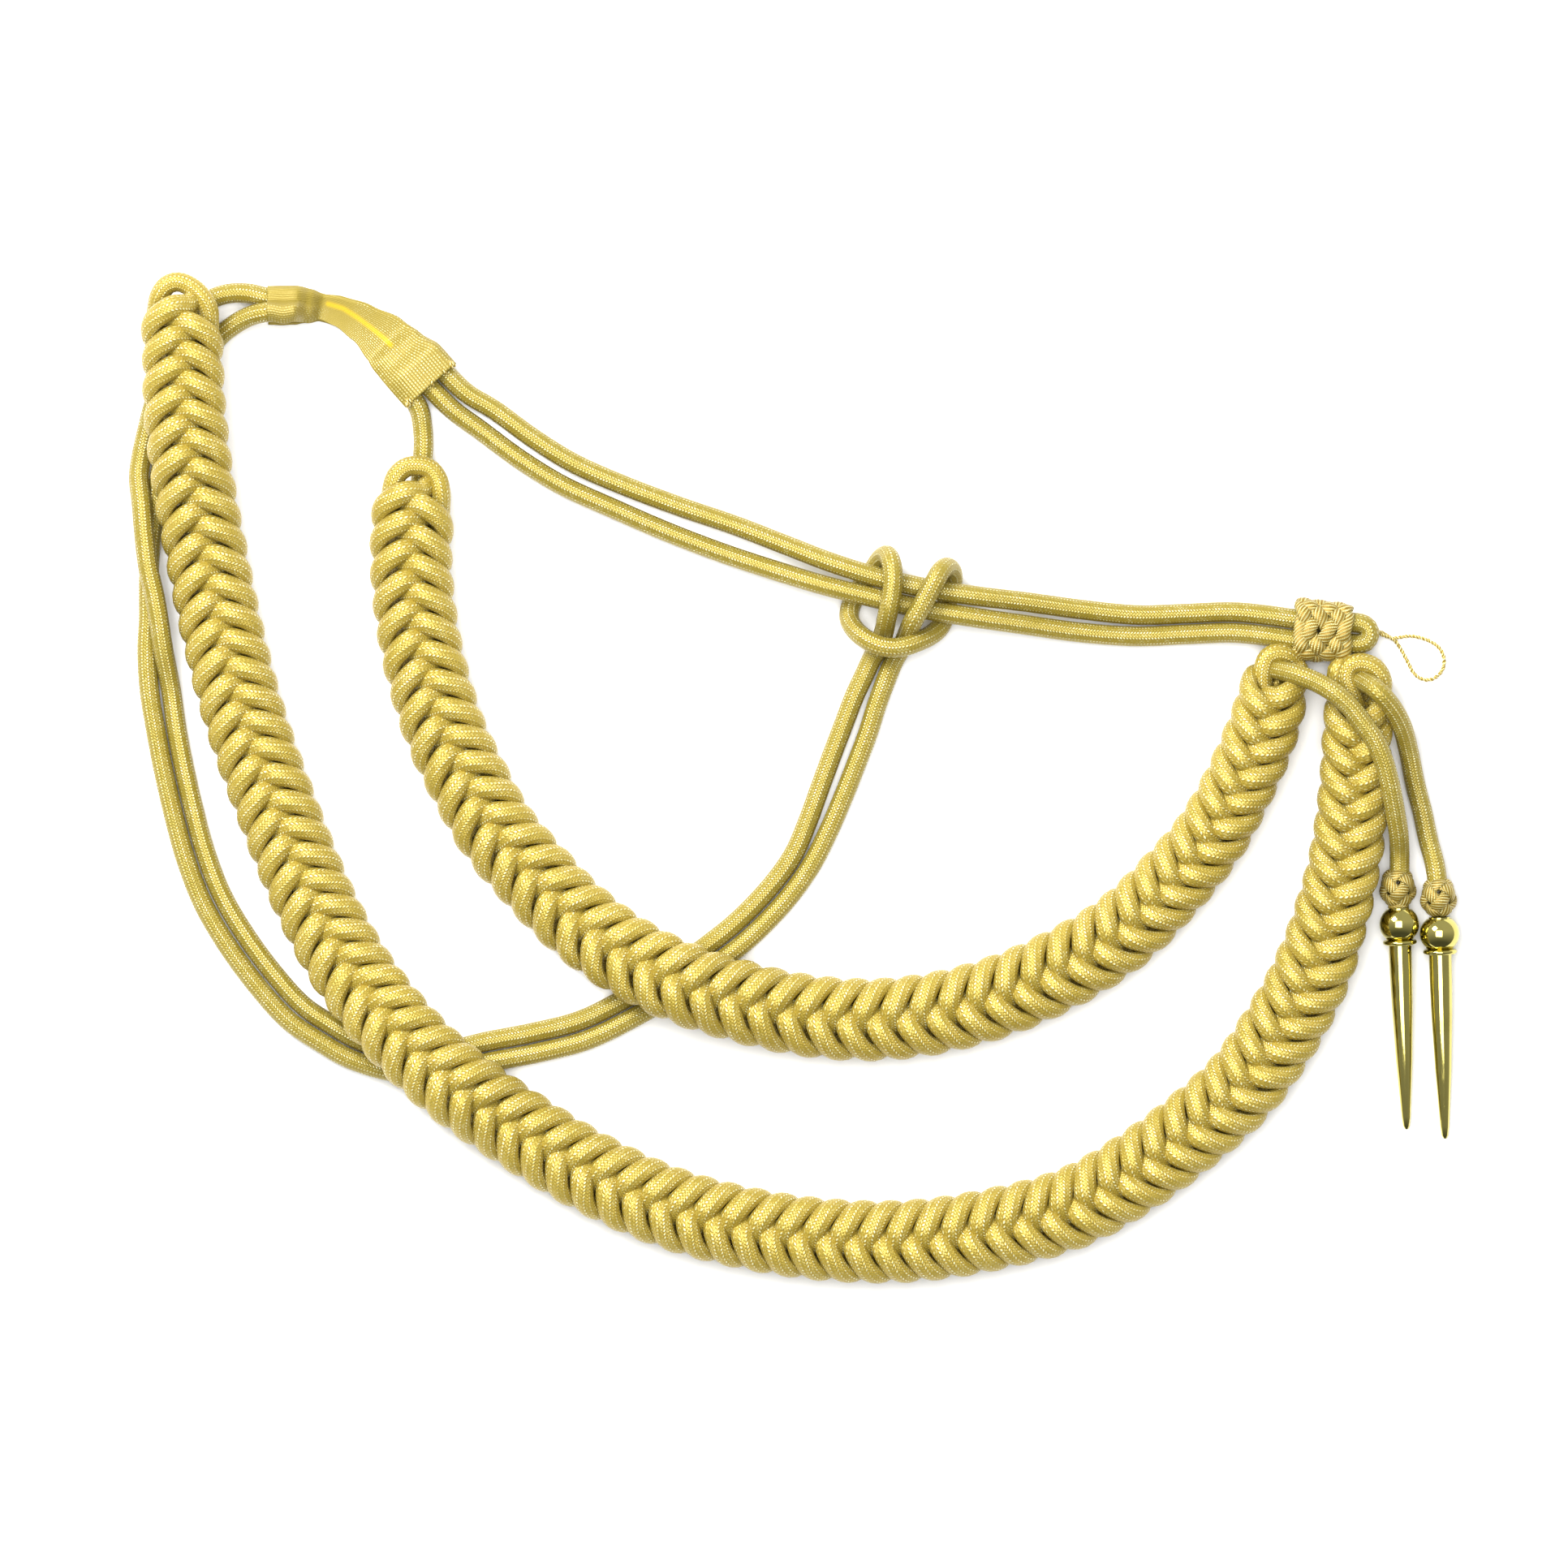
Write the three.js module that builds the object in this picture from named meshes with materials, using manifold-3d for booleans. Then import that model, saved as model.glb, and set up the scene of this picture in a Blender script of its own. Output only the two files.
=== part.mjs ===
// Aiguillette: the gold dress cords of an officer's uniform, laid out flat, seen side up.
// Millimetres, +Z up, the table at z = 0. The origin is under the middle of the shoulder tape.

import * as THREE from 'three';
import Module from 'manifold-3d';
import { mergeVertices } from 'three/addons/utils/BufferGeometryUtils.js';

const wasm = await Module();
wasm.setup();

// Driving sizes

const gap = 0.3; // clearance between neighbouring pieces
const cordDiameter = 6.4; // braided gold cord
const cordSides = 8;

const plaitPitch = 8.9; // one left and one right loop
const plaitChevron = 6.5; // how far a loop runs on between the middle and the edge
const plaitEndLength = 16; // stretch over which a plait draws in at its ends
const plaitEndShare = 0.66; // width left at the very end

const tapeWall = 1.2; // gold lace, one layer
const tapeFoldRadius = 1.8; // inside the fold
const ropeDiameter = 2.9; // twisted rope of the knots
const slideKnotLength = 18.5;
const needleKnotDiameter = 11.8;
const needleKnotHeight = 11.4;
const needleKnotNeck = 6.6;
const buttonLoopDiameter = 1.3;

const needleBallDiameter = 12.8;
const needleBallHeight = 9.8;
const needleFlangeDiameter = 6.8;
const needleFlangeThickness = 0.5;
const needleCollarDiameter = 11;
const needleCollarThickness = 1.6;
const needleShankLength = 59.5;
const needleShankDiameter = 7.4;
const needleTipDiameter = 1.9;

// Sizes that follow from them

const cordRadius = cordDiameter / 2;
const cordStep = cordDiameter + gap; // from the middle of one cord to that of its neighbour
const plaitHalfWidth = 2.15 * cordDiameter;
const plaitHalfHeight = 1.4 * cordDiameter;
const plaitLoopRelief = 0.2 * cordDiameter; // depth of the groove between two loops
const tapeFloor = (tapeWall + gap) / cordStep; // level of a cord that lies on the tape's lower layer
const stackedLevel = tapeFloor + 0.73; // the arm cord's second strand, half on top of the first
const knotBoreHalfWidth = cordStep / 2 + cordRadius + gap;
const knotBoreHalfHeight = cordRadius + gap;
const knotLevel = (ropeDiameter + gap) / cordStep; // front cord inside the slide knot
const overPlait = (2 * plaitHalfHeight) / cordStep + 0.08; // a cord lying across a plait
const overLoop = (plaitHalfHeight + gap) / cordStep + 0.42; // a cord on a plait's last loop

// A level is a height in cord steps: 0 lies on the table, 1 lies on one cord, and so on.
const heightAt = (level) => cordRadius + level * cordStep;

// Routes. Every list of points was chosen by eye along the cord or plait.

const outerPlaitRoute = table(['x', 'y', 'level', 'width'], [
  [-58, 1.5, 1.05, 0.98], [-57.5, -13.5, 1.05, 0.98], [-57, -28, 1.05, 1],
  [-55.5, -42.5, 0.88, 1], [-53.5, -57.5, 0.4, 1], [-50.5, -73.5, 0.05, 1],
  [-47.5, -89, 0, 1], [-44, -104.5, 0, 1], [-40, -120, 0, 1], [-35, -136, 0, 1],
  [-29, -152.5, 0, 1], [-22.5, -169.5, 0, 1], [-14.5, -188, 0, 1], [-4, -207, 0.25, 1],
  [10.5, -225.5, 1.08, 1], [27.5, -242, 1.08, 1], [49, -257.5, 0.15, 1], [72, -271.5, 0, 1],
  [97.5, -283, 0, 1], [124.5, -290, 0, 1], [151, -293.5, 0, 1], [177, -293.5, 0, 1],
  [203, -289.5, 0, 1], [226.5, -283, 0, 1], [245.5, -272.5, 0, 1], [264.5, -258.5, 0, 1],
  [280.5, -244, 0, 1], [292.5, -227, 0, 1], [302.3, -209, 0, 0.97], [308.8, -190.5, 0, 0.91],
  [313.3, -172.5, 0, 0.86], [316, -154, 0, 0.84], [317.3, -135.5, 0, 0.82],
  [317.5, -120.5, 0, 0.75], [318, -113, 0, 0.7],
]);

const innerPlaitRoute = table(['x', 'y', 'level', 'width'], [
  [16, -53.5, 0, 1], [15.5, -63, 0, 1], [15, -76, 0, 1], [16, -90, 0, 1], [18, -103, 0, 1],
  [21.5, -117.5, 0, 1], [26.5, -132.5, 0, 1], [34, -148, 0, 1], [42.5, -163, 0, 1],
  [54, -176.5, 0, 1], [66.5, -189.5, 0, 1], [81.5, -201, 0.45, 1], [100, -210.5, 1.1, 1],
  [120, -217, 0.5, 1], [140.5, -221.5, 0, 1], [161, -223, 0, 1], [182, -221, 0, 1],
  [203, -215.5, 0, 1], [223.5, -206.5, 0, 1], [242, -195, 0, 0.97], [257, -180.5, 0, 0.93],
  [270, -165, 0, 0.89], [278, -151, 0, 0.86], [284.5, -137, 0, 0.86], [289, -124.5, 0, 0.84],
  [291, -114.5, 0, 0.75],
]);

// The loop of cord that each plait starts from, and the last one at its other end.
const outerPlaitRing = table(['x', 'y', 'level'], [
  [-66.5, -8, 1.7], [-66.5, -1, 1.6], [-66, 4, 1.5], [-64.7, 8.5, 1.45], [-62, 11.5, 1.4],
  [-58, 12.5, 1.4], [-54, 11.3, 1.4], [-50.7, 8, 1.4], [-48.7, 3.5, 1.45],
  [-48, -2, 1.55], [-48, -9, 1.7],
]);
const outerPlaitLastLoop = table(['x', 'y', 'level'], [
  [317, -128.5, 0.85], [315, -120.5, 0.95], [314.5, -115.5, 0.95], [316.5, -112, 0.95],
  [320, -111, 0.95], [323, -113.5, 0.95], [324, -118, 0.95], [322, -126, 0.85],
]);
const innerPlaitRing = table(['x', 'y', 'level'], [
  [9, -66, 0.85], [8.7, -59, 0.95], [9, -53, 1.06], [10.5, -49, 1.06], [13.5, -46.5, 1.06],
  [17, -46, 1.06], [21, -47, 1.06], [23.5, -50, 1.06], [24.5, -54.5, 1.06],
  [24, -60, 0.95], [23, -67, 0.85],
]);
const innerPlaitLastLoop = table(['x', 'y', 'level'], [
  [285.5, -122, 0.85], [284.8, -114, 0.95], [286.3, -109.4, 0.95], [289.8, -107.3, 0.95],
  [293.6, -108.2, 0.95], [296.4, -111.4, 0.95], [297.6, -116, 0.95], [297, -123, 0.85],
]);

// The front cord runs double from the tape to the button loop. apart is how far its two
// strands stand clear of each other, in cord diameters.
const frontPair = table(['x', 'y', 'apart', 'level'], [
  [19.4, -14, 0, tapeFloor], [23.5, -18.6, 0, tapeFloor], [30.7, -25.5, 0.05, 0.12],
  [39, -31, 0.18, 0], [52, -40.5, 0.2, 0], [65, -48.5, 0.2, 0], [80.5, -55.5, 0.22, 0],
  [99, -63, 0.36, 0], [117, -69.5, 0.46, 0.1], [135, -76, 0.31, 0.5],
  [148, -80.5, 0.15, 0.94], [164, -85, 0, 1.03], [179.5, -88.5, 0, 1.03],
  [195, -91, 0.03, 0.98], [210.5, -93, 0.09, 0.6], [229, -95.5, 0.1, 0.15],
  [247, -97, 0.03, 0], [262.5, -96.5, 0, 0], [278, -96, 0, 0.2], [290, -97.2, 0, knotLevel - 0.05],
  [297, -98.2, 0, knotLevel], [306.5, -98.8, 0, knotLevel], [315.5, -99.4, 0, knotLevel],
]);
const frontBightLength = 6; // from the last row of the pair to the outside of its closed end

// The arm cord also runs double, from the tape's other end under both plaits to the hitch.
// side is -1 where its first strand lies right of the line, 1 where it lies left of it.
const armFirstStart = table(['x', 'y', 'level'], [
  [-22.5, 8, tapeFloor], [-31, 8, tapeFloor], [-37, 9.3, 0.15], [-42.5, 9.4, 0.05],
  [-48, 8, 0], [-53, 4.5, 0], [-57, 0, 0], [-61, -8, 0], [-64.5, -17, 0], [-67.5, -26, 0],
  [-69.8, -35, 0], [-71.5, -43, 0.1],
]);
const armSecondStart = table(['x', 'y', 'level'], [
  [-22.5, 3.1, stackedLevel], [-31, 3.1, stackedLevel], [-37, 1.7, 0.6], [-42.5, -1.3, 0.25],
  [-47, -5, 0], [-51.5, -12, 0], [-56, -20.5, 0], [-60, -29.5, 0], [-63, -39.5, 0],
]);
const armPair = table(['x', 'y', 'side', 'apart', 'firstLevel', 'secondLevel'], [
  [-69, -49.5, -0.97, 0, 0.32, 0], [-69, -58, -0.66, 0, 0.8, 0], [-69.3, -67, -0.33, 0, 0.97, 0],
  [-69, -78.5, 0, 0, 1.02, 0], [-68.2, -86.5, 0.3, 0, 0.98, 0], [-67.5, -94, 0.5, 0, 0.9, 0],
  [-67, -104.5, 0.8, 0, 0.64, 0], [-65.5, -117.5, 1, 0.03, 0, 0], [-63.5, -130.5, 1, 0, 0, 0],
  [-61, -143.5, 1, 0, 0, 0], [-58, -156.5, 1, 0, 0, 0], [-54.5, -169.5, 1, 0, 0, 0],
  [-49, -184, 1, 0, 0, 0], [-41.5, -197, 1, 0, 0, 0], [-32, -210, 1, 0, 0, 0],
  [-22, -221, 1, 0, 0, 0], [-12.5, -227.5, 1, 0, 0, 0], [-2.5, -233, 1, 0, 0, 0],
  [13, -237, 1, 0, 0, 0], [28.5, -236, 1, 0, 0, 0], [39, -233.5, 1, 0, 0, 0],
  [54.5, -230.5, 1, 0, 0, 0], [70, -226.5, 1, 0, 0, 0], [85.5, -219, 1, 0, 0, 0],
  [99, -211, 1, 0, 0, 0], [113.5, -200.5, 1, 0, 0, 0], [122, -193.5, 1, 0, 0, 0],
  [132.5, -182.5, 1, 0, 0, 0], [140, -172, 1, 0, 0, 0], [145, -161.5, 1, 0.1, 0, 0],
  [149, -151.5, 1, 0.2, 0, 0], [153, -141, 1, 0.25, 0, 0], [157, -130.5, 1, 0.25, 0, 0],
  [160.5, -120.5, 1, 0.15, 0, 0],
]);

// The hitch: the arm cord's closed end, laid over the front cord and back round its own legs.
const hitchRoute = table(['x', 'y', 'level'], [
  [159.8, -113, 0], [162, -108.2, 0.02], [164.6, -103.7, 0.38], [166.2, -98.8, 0.72],
  [166.9, -95.2, 1.5], [167.7, -91.5, 1.98], [168.7, -86.3, 2.06], [169, -81.6, 2.03],
  [168.5, -77.2, 1.77], [167.2, -74.6, 1.1], [165.1, -75.6, 0.4], [163, -78.8, 0],
  [160.4, -82.4, 0], [157.6, -86.8, 0], [155.5, -91, 0], [155.1, -94.8, 0.25],
  [156.8, -98.3, 0.75], [160.2, -101.3, 1.25], [164.6, -103.5, 1.5], [169, -104.2, 1.55],
  [172.8, -103.7, 1.5], [177, -102.2, 1.25], [181, -100.2, 0.75], [184.1, -97.5, 0.3],
  [185.4, -94.1, 0], [186.2, -90.2, 0], [187.2, -86.8, 0], [188.2, -82.6, 0.1],
  [187.9, -79.6, 0.55], [186.2, -78.4, 1.15], [184.2, -79.8, 1.75], [182.4, -82.9, 2.03],
  [180.2, -87.1, 2.06], [177.6, -91.8, 2.03], [175.4, -95.6, 1.82], [173.7, -99.6, 0.72],
  [171.9, -103.9, 0.38], [169.4, -108.2, 0.02], [167.3, -113.2, 0],
]);

const hangerRoute = table(['x', 'y', 'level'], [
  [11.8, -20.4, tapeFloor], [15.9, -25, tapeFloor], [17.7, -28.6, 0.12], [18.5, -33.5, 0],
  [18.8, -38, 0], [18.6, -43, 0], [18.2, -48, 0], [17.6, -54, 0],
]);
const leftNeedleCordRoute = table(['x', 'y', 'level'], [
  [292, -111.5, overLoop], [298.5, -113, overLoop + 0.3], [304.5, -115.5, overPlait - 0.35],
  [310, -119, overPlait], [314.5, -123, overPlait], [318, -127.5, overPlait],
  [322, -133, overPlait], [325, -139.5, overPlait - 0.1], [327.3, -147.5, overPlait - 0.35],
  [329.2, -156.5, overPlait - 0.9], [330.5, -163.5, overPlait - 1.5], [331, -169, 0.65],
  [331.1, -173.8, 0.46],
]);
const rightNeedleCordRoute = table(['x', 'y', 'level'], [
  [319, -114.7, overLoop + 0.3], [323.5, -118, overLoop + 0.45], [327.9, -122.8, overLoop + 0.12],
  [331.5, -129, 1.25], [334.2, -138, 0.35], [336.2, -147.5, 0], [338.5, -156.5, 0],
  [340.5, -166, 0.1], [342.2, -172.5, 0.28], [343, -177.3, 0.4],
]);
const buttonLoopRoute = table(['x', 'y', 'height'], [
  [325, -99.9, 5], [328, -101.2, 2.5], [330.5, -104, 1], [333.5, -109, 0.65],
  [336, -112.5, 0.65], [340, -114.5, 0.65], [343.5, -113.7, 0.65], [346, -110.5, 0.65],
  [346, -106.5, 0.65], [343.5, -103.3, 0.65], [340, -101.5, 0.65], [335.5, -100.3, 0.65],
  [329.7, -99.3, 1.6], [325.9, -98.1, 4.6],
]);

// The lace tape is folded over the cord ends. low and high are its edges either side of its
// line, and cavity is the room between its two layers.
const flatCavity = gap;
const oneCordCavity = cordDiameter + 2 * gap;
const twoCordCavity = oneCordCavity + 0.73 * cordStep;
const tapeRows = table(['x', 'y', 'low', 'high', 'cavity'], [
  [-31, 6.2, 6.4, 6.5, twoCordCavity], [-26.5, 6.2, 6.4, 6.5, twoCordCavity],
  [-22, 6.2, 6.2, 6.5, twoCordCavity], [-17.5, 5.6, 5.2, 5.2, 0.4 * twoCordCavity],
  [-13.5, 5, 4.3, 4.3, flatCavity], [-8, 3.6, 4.9, 5, flatCavity],
  [-1, 0.2, 6.4, 6.3, flatCavity], [6.5, -5.3, 8.6, 8.4, flatCavity],
  [10.4, -9.6, 9.2, 9.8, 0.5 * oneCordCavity], [15.2, -15, 9.4, 11.9, oneCordCavity],
  [20.5, -21, 9.4, 11.9, oneCordCavity],
]);

function table(columns, rows) {
  return rows.map((row) => Object.fromEntries(columns.map((name, index) => [name, row[index]])));
}

// A cord's curve through its chosen points, with one step of the tube from point to point, so
// that the steps are short where the points are close.
class CordCurve extends THREE.Curve {
  constructor(points) {
    super();
    this.spline = new THREE.CatmullRomCurve3(points, false, 'centripetal');
  }

  getPoint(t, target) {
    return this.spline.getPoint(t, target);
  }

  getPointAt(t, target) {
    return this.getPoint(t, target);
  }

  getTangentAt(t, target) {
    return this.getTangent(t, target);
  }
}

function roundOutline(sides) {
  return Array.from({ length: sides }, (unused, index) => {
    const angle = (index / sides) * Math.PI * 2;
    return [Math.cos(angle), Math.sin(angle)];
  });
}

function roundSection(diameter, sides) {
  const shape = new THREE.Shape();
  for (let side = 0; side < sides; side += 1) {
    const angle = ((side + 0.5) / sides) * Math.PI * 2;
    const x = (diameter / 2) * Math.cos(angle);
    const y = (diameter / 2) * Math.sin(angle);
    if (side === 0) shape.moveTo(x, y);
    else shape.lineTo(x, y);
  }
  return shape;
}

function tubeGeometry(points, diameter, sides) {
  return new THREE.ExtrudeGeometry(roundSection(diameter, sides), {
    steps: points.length - 1,
    bevelEnabled: false,
    extrudePath: new CordCurve(points),
  });
}

const levelPoint = ({ x, y, level }) => new THREE.Vector3(x, y, heightAt(level));

function cordGeometry(rows) {
  return tubeGeometry(rows.map(levelPoint), cordDiameter, cordSides);
}

// Unit vector pointing left of a line of rows, seen from above.
function leftOf(rows, index) {
  const before = rows[Math.max(index - 1, 0)];
  const after = rows[Math.min(index + 1, rows.length - 1)];
  return new THREE.Vector3(before.y - after.y, after.x - before.x, 0).normalize();
}

// One strand of a doubled cord: sign is 1 for the strand left of the line.
function strandPoint(rows, index, sign, level) {
  const { x, y, apart } = rows[index];
  const side = rows[index].side ?? 1;
  const offset = (sign * side * (cordStep + apart * cordDiameter)) / 2;
  return leftOf(rows, index).multiplyScalar(offset).add(new THREE.Vector3(x, y, heightAt(level)));
}

function frontCordGeometry() {
  const left = frontPair.map((row, index) => strandPoint(frontPair, index, 1, row.level));
  const right = frontPair.map((row, index) => strandPoint(frontPair, index, -1, row.level));
  const lastIndex = frontPair.length - 1;
  const across = leftOf(frontPair, lastIndex);
  const along = new THREE.Vector3(across.y, -across.x, 0);
  const radius = cordStep / 2;
  const centre = left[lastIndex].clone().add(right[lastIndex]).multiplyScalar(0.5);
  centre.addScaledVector(along, frontBightLength - radius);
  const bight = [90, 45, 0, -45, -90].map((degrees) => {
    const angle = THREE.MathUtils.degToRad(degrees);
    return centre.clone()
      .addScaledVector(along, radius * Math.cos(angle))
      .addScaledVector(across, radius * Math.sin(angle));
  });
  return tubeGeometry([...left, ...bight, ...right.reverse()], cordDiameter, cordSides);
}

// The arm cord's strands stop where the hitch begins, face to face with it.
function armStrandGeometry(start, sign, levelName) {
  const strand = armPair.map((row, index) => strandPoint(armPair, index, sign, row[levelName]));
  const hitchEnd = sign > 0 ? hitchRoute[0] : hitchRoute[hitchRoute.length - 1];
  const last = strand[strand.length - 1];
  const seam = levelPoint(hitchEnd);
  const seamGap = last.clone().sub(seam).setLength(gap);
  return tubeGeometry([...start.map(levelPoint), ...strand, seam.add(seamGap)], cordDiameter, cordSides);
}

// Closed mesh from rings of points: quads between neighbouring rings and a flat cap at each
// end. outline is the shape of one ring, as pairs of numbers, anticlockwise.
function loftGeometry(rings, outline) {
  const count = outline.length;
  const points = rings.flat();
  const faces = [];
  for (let ring = 0; ring < rings.length - 1; ring += 1) {
    for (let index = 0; index < count; index += 1) {
      const next = (index + 1) % count;
      const a = ring * count + index;
      const b = ring * count + next;
      const c = a + count;
      const d = b + count;
      faces.push(a, b, c, b, d, c);
    }
  }
  const corners = outline.map(([x, y]) => new THREE.Vector2(x, y));
  const lastRing = (rings.length - 1) * count;
  for (const cap of THREE.ShapeUtils.triangulateShape(corners, [])) {
    const turned = THREE.ShapeUtils.area(cap.map((index) => corners[index])) < 0;
    const [a, b, c] = turned ? [cap[2], cap[1], cap[0]] : cap;
    faces.push(c, b, a, lastRing + a, lastRing + b, lastRing + c);
  }
  const geometry = new THREE.BufferGeometry();
  const values = points.flatMap((point) => [point.x, point.y, point.z]);
  geometry.setAttribute('position', new THREE.Float32BufferAttribute(values, 3));
  geometry.setIndex(faces);
  return geometry;
}

// Joins closed meshes into one solid.
function fuse(geometries) {
  const solids = geometries.map((source) => {
    const plain = source.clone();
    plain.deleteAttribute('normal');
    plain.deleteAttribute('uv');
    const merged = mergeVertices(plain, 1e-4);
    const mesh = new wasm.Mesh({
      numProp: 3,
      vertProperties: Float32Array.from(merged.attributes.position.array),
      triVerts: Uint32Array.from(merged.index.array),
    });
    return new wasm.Manifold(mesh);
  });
  const joined = solids.slice(1).reduce((sum, solid) => sum.add(solid), solids[0]).getMesh();
  const geometry = new THREE.BufferGeometry();
  geometry.setAttribute('position', new THREE.BufferAttribute(joined.vertProperties, 3));
  geometry.setIndex(new THREE.BufferAttribute(joined.triVerts, 1));
  return geometry;
}

// Half of a plait's cross-section, as shares of its half width and half height.
const plaitSection = table(['across', 'up'], [
  [1, 0], [0.84, 0.6], [0.34, 0.98], [-0.34, 0.98], [-0.84, 0.6],
  [-1, 0], [-0.84, -0.6], [-0.34, -0.98], [0.34, -0.98], [0.84, -0.6],
]);

// A column's value part of the way along a table, eased from row to row.
function easedValue(rows, name, share) {
  const place = share * (rows.length - 1);
  const index = Math.min(Math.floor(place), rows.length - 2);
  const blend = THREE.MathUtils.smoothstep(place - index, 0, 1);
  return THREE.MathUtils.lerp(rows[index][name], rows[index + 1][name], blend);
}

// A plait of two cords. Its loops lie like shingles: from the middle each runs outward and on,
// left and right in turn, so every ring of the loft is an arrowhead, and every second ring is
// the groove between two loops.
function plaitGeometry(route) {
  const line = new THREE.CatmullRomCurve3(
    route.map(({ x, y }) => new THREE.Vector3(x, y, 0)), false, 'centripetal',
  );
  line.arcLengthDivisions = 2000;
  const length = line.getLength();
  const sideLag = plaitPitch / 2; // the left loops follow the right ones by half a pitch
  const ringCount = 2 * Math.floor((length - plaitChevron - sideLag) / plaitPitch) + 1;
  const ringStep = (length - plaitChevron - sideLag) / (ringCount - 1);
  const rings = [];
  for (let ring = 0; ring < ringCount; ring += 1) {
    const groove = ring % 2 === 0;
    rings.push(plaitSection.map(({ across, up }) => {
      const lag = across > 0 ? sideLag : 0;
      const travelled = Math.min(ring * ringStep + plaitChevron * Math.abs(across) + lag, length);
      const share = line.getUtoTmapping(travelled / length);
      const point = line.getPoint(share);
      const tangent = line.getTangent(share);
      const toEnd = Math.min(travelled, length - travelled) / plaitEndLength;
      const drawIn = THREE.MathUtils.lerp(plaitEndShare, 1, THREE.MathUtils.smoothstep(toEnd, 0, 1));
      const fullWidth = plaitHalfWidth * easedValue(route, 'width', share);
      const halfWidth = (fullWidth - (groove ? plaitLoopRelief : 0)) * drawIn;
      const halfHeight = (plaitHalfHeight - (groove ? plaitLoopRelief : 0)) * drawIn;
      const centreHeight = plaitHalfHeight + easedValue(route, 'level', share) * cordStep;
      return new THREE.Vector3(
        point.x - tangent.y * across * halfWidth,
        point.y + tangent.x * across * halfWidth,
        centreHeight + up * halfHeight,
      );
    }));
  }
  return loftGeometry(rings, plaitSection.map(({ across, up }) => [across, up]));
}

function plaitWithLoops(route, ring, lastLoop) {
  return fuse([plaitGeometry(route), cordGeometry(ring), cordGeometry(lastLoop)]);
}

// Section of the folded tape, from its open lower edge round the fold and back.
function tapeSection({ low, high, cavity }) {
  const height = cavity + 2 * tapeWall;
  const outer = Math.min(0.3 * height, tapeFoldRadius + tapeWall);
  const inner = Math.min(0.3 * cavity, tapeFoldRadius);
  const insideHigh = high - tapeWall;
  return [
    [-low, 0], [high - outer, 0], [high - 0.3 * outer, 0.3 * outer], [high, outer],
    [high, height - outer], [high - 0.3 * outer, height - 0.3 * outer],
    [high - outer, height], [-low, height], [-low, height - tapeWall],
    [insideHigh - inner, height - tapeWall], [insideHigh, height - tapeWall - inner],
    [insideHigh, tapeWall + inner], [insideHigh - inner, tapeWall], [-low, tapeWall],
  ];
}

function tapeGeometry() {
  const line = new THREE.CatmullRomCurve3(tapeRows.map(({ x, y }) => new THREE.Vector3(x, y, 0)));
  const sectionsPerRow = 2;
  const count = (tapeRows.length - 1) * sectionsPerRow;
  const rings = [];
  for (let section = 0; section <= count; section += 1) {
    const share = section / count;
    const place = section / sectionsPerRow;
    const index = Math.min(Math.floor(place), tapeRows.length - 2);
    const blend = place - index;
    const mixed = {};
    for (const name of ['low', 'high', 'cavity']) {
      mixed[name] = THREE.MathUtils.lerp(tapeRows[index][name], tapeRows[index + 1][name], blend);
    }
    const point = line.getPoint(share);
    const tangent = line.getTangent(share);
    rings.push(tapeSection(mixed).map(([across, height]) => new THREE.Vector3(
      point.x - tangent.y * across,
      point.y + tangent.x * across,
      height,
    )));
  }
  return loftGeometry(rings, tapeSection(tapeRows[0]));
}

// The slide knot is a woven sleeve of rope round both strands of the front cord: rounded
// humps of rope in staggered rows outside, a flat bore inside.
function slideKnotGeometry() {
  const around = 24;
  const rows = table(['along', 'swell'], [
    [-0.5, 0.55], [-0.42, 0.95], [-0.25, 1], [-0.08, 1], [0.08, 1], [0.25, 1], [0.42, 0.95],
    [0.5, 0.55],
  ]);
  const ovalPoint = (angle, halfWidth, halfHeight, along) => {
    const flattened = 0.64; // squarer than an ellipse, as the two strands inside are
    const cos = Math.cos(angle);
    const sin = Math.sin(angle);
    return new THREE.Vector3(
      along * slideKnotLength,
      Math.sign(cos) * halfWidth * Math.abs(cos) ** flattened,
      Math.sign(sin) * halfHeight * Math.abs(sin) ** flattened,
    );
  };
  const rings = rows.map(({ along, swell }, row) => Array.from({ length: around }, (unused, index) => {
    const angle = (index / around) * Math.PI * 2;
    const hump = (index + row) % 2 === 0 ? 0 : -0.16 * ropeDiameter;
    const wall = ropeDiameter * swell + hump;
    return ovalPoint(angle, knotBoreHalfWidth + wall, knotBoreHalfHeight + wall, along);
  }));
  const boreEnds = [-0.6, 0.6].map((along) => Array.from({ length: around }, (unused, index) => (
    ovalPoint((index / around) * Math.PI * 2, knotBoreHalfWidth, knotBoreHalfHeight, along))));
  const outline = boreEnds[0].map(({ y, z }) => [y, z]);
  return cutBore(loftGeometry(rings, outline), loftGeometry(boreEnds, outline));
}

function cutBore(body, bore) {
  const [solid, tool] = [body, bore].map((source) => {
    const mesh = new wasm.Mesh({
      numProp: 3,
      vertProperties: Float32Array.from(source.attributes.position.array),
      triVerts: Uint32Array.from(source.index.array),
    });
    return new wasm.Manifold(mesh);
  });
  const result = solid.subtract(tool).getMesh();
  const geometry = new THREE.BufferGeometry();
  geometry.setAttribute('position', new THREE.BufferAttribute(result.vertProperties, 3));
  geometry.setIndex(new THREE.BufferAttribute(result.triVerts, 1));
  return geometry;
}

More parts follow.
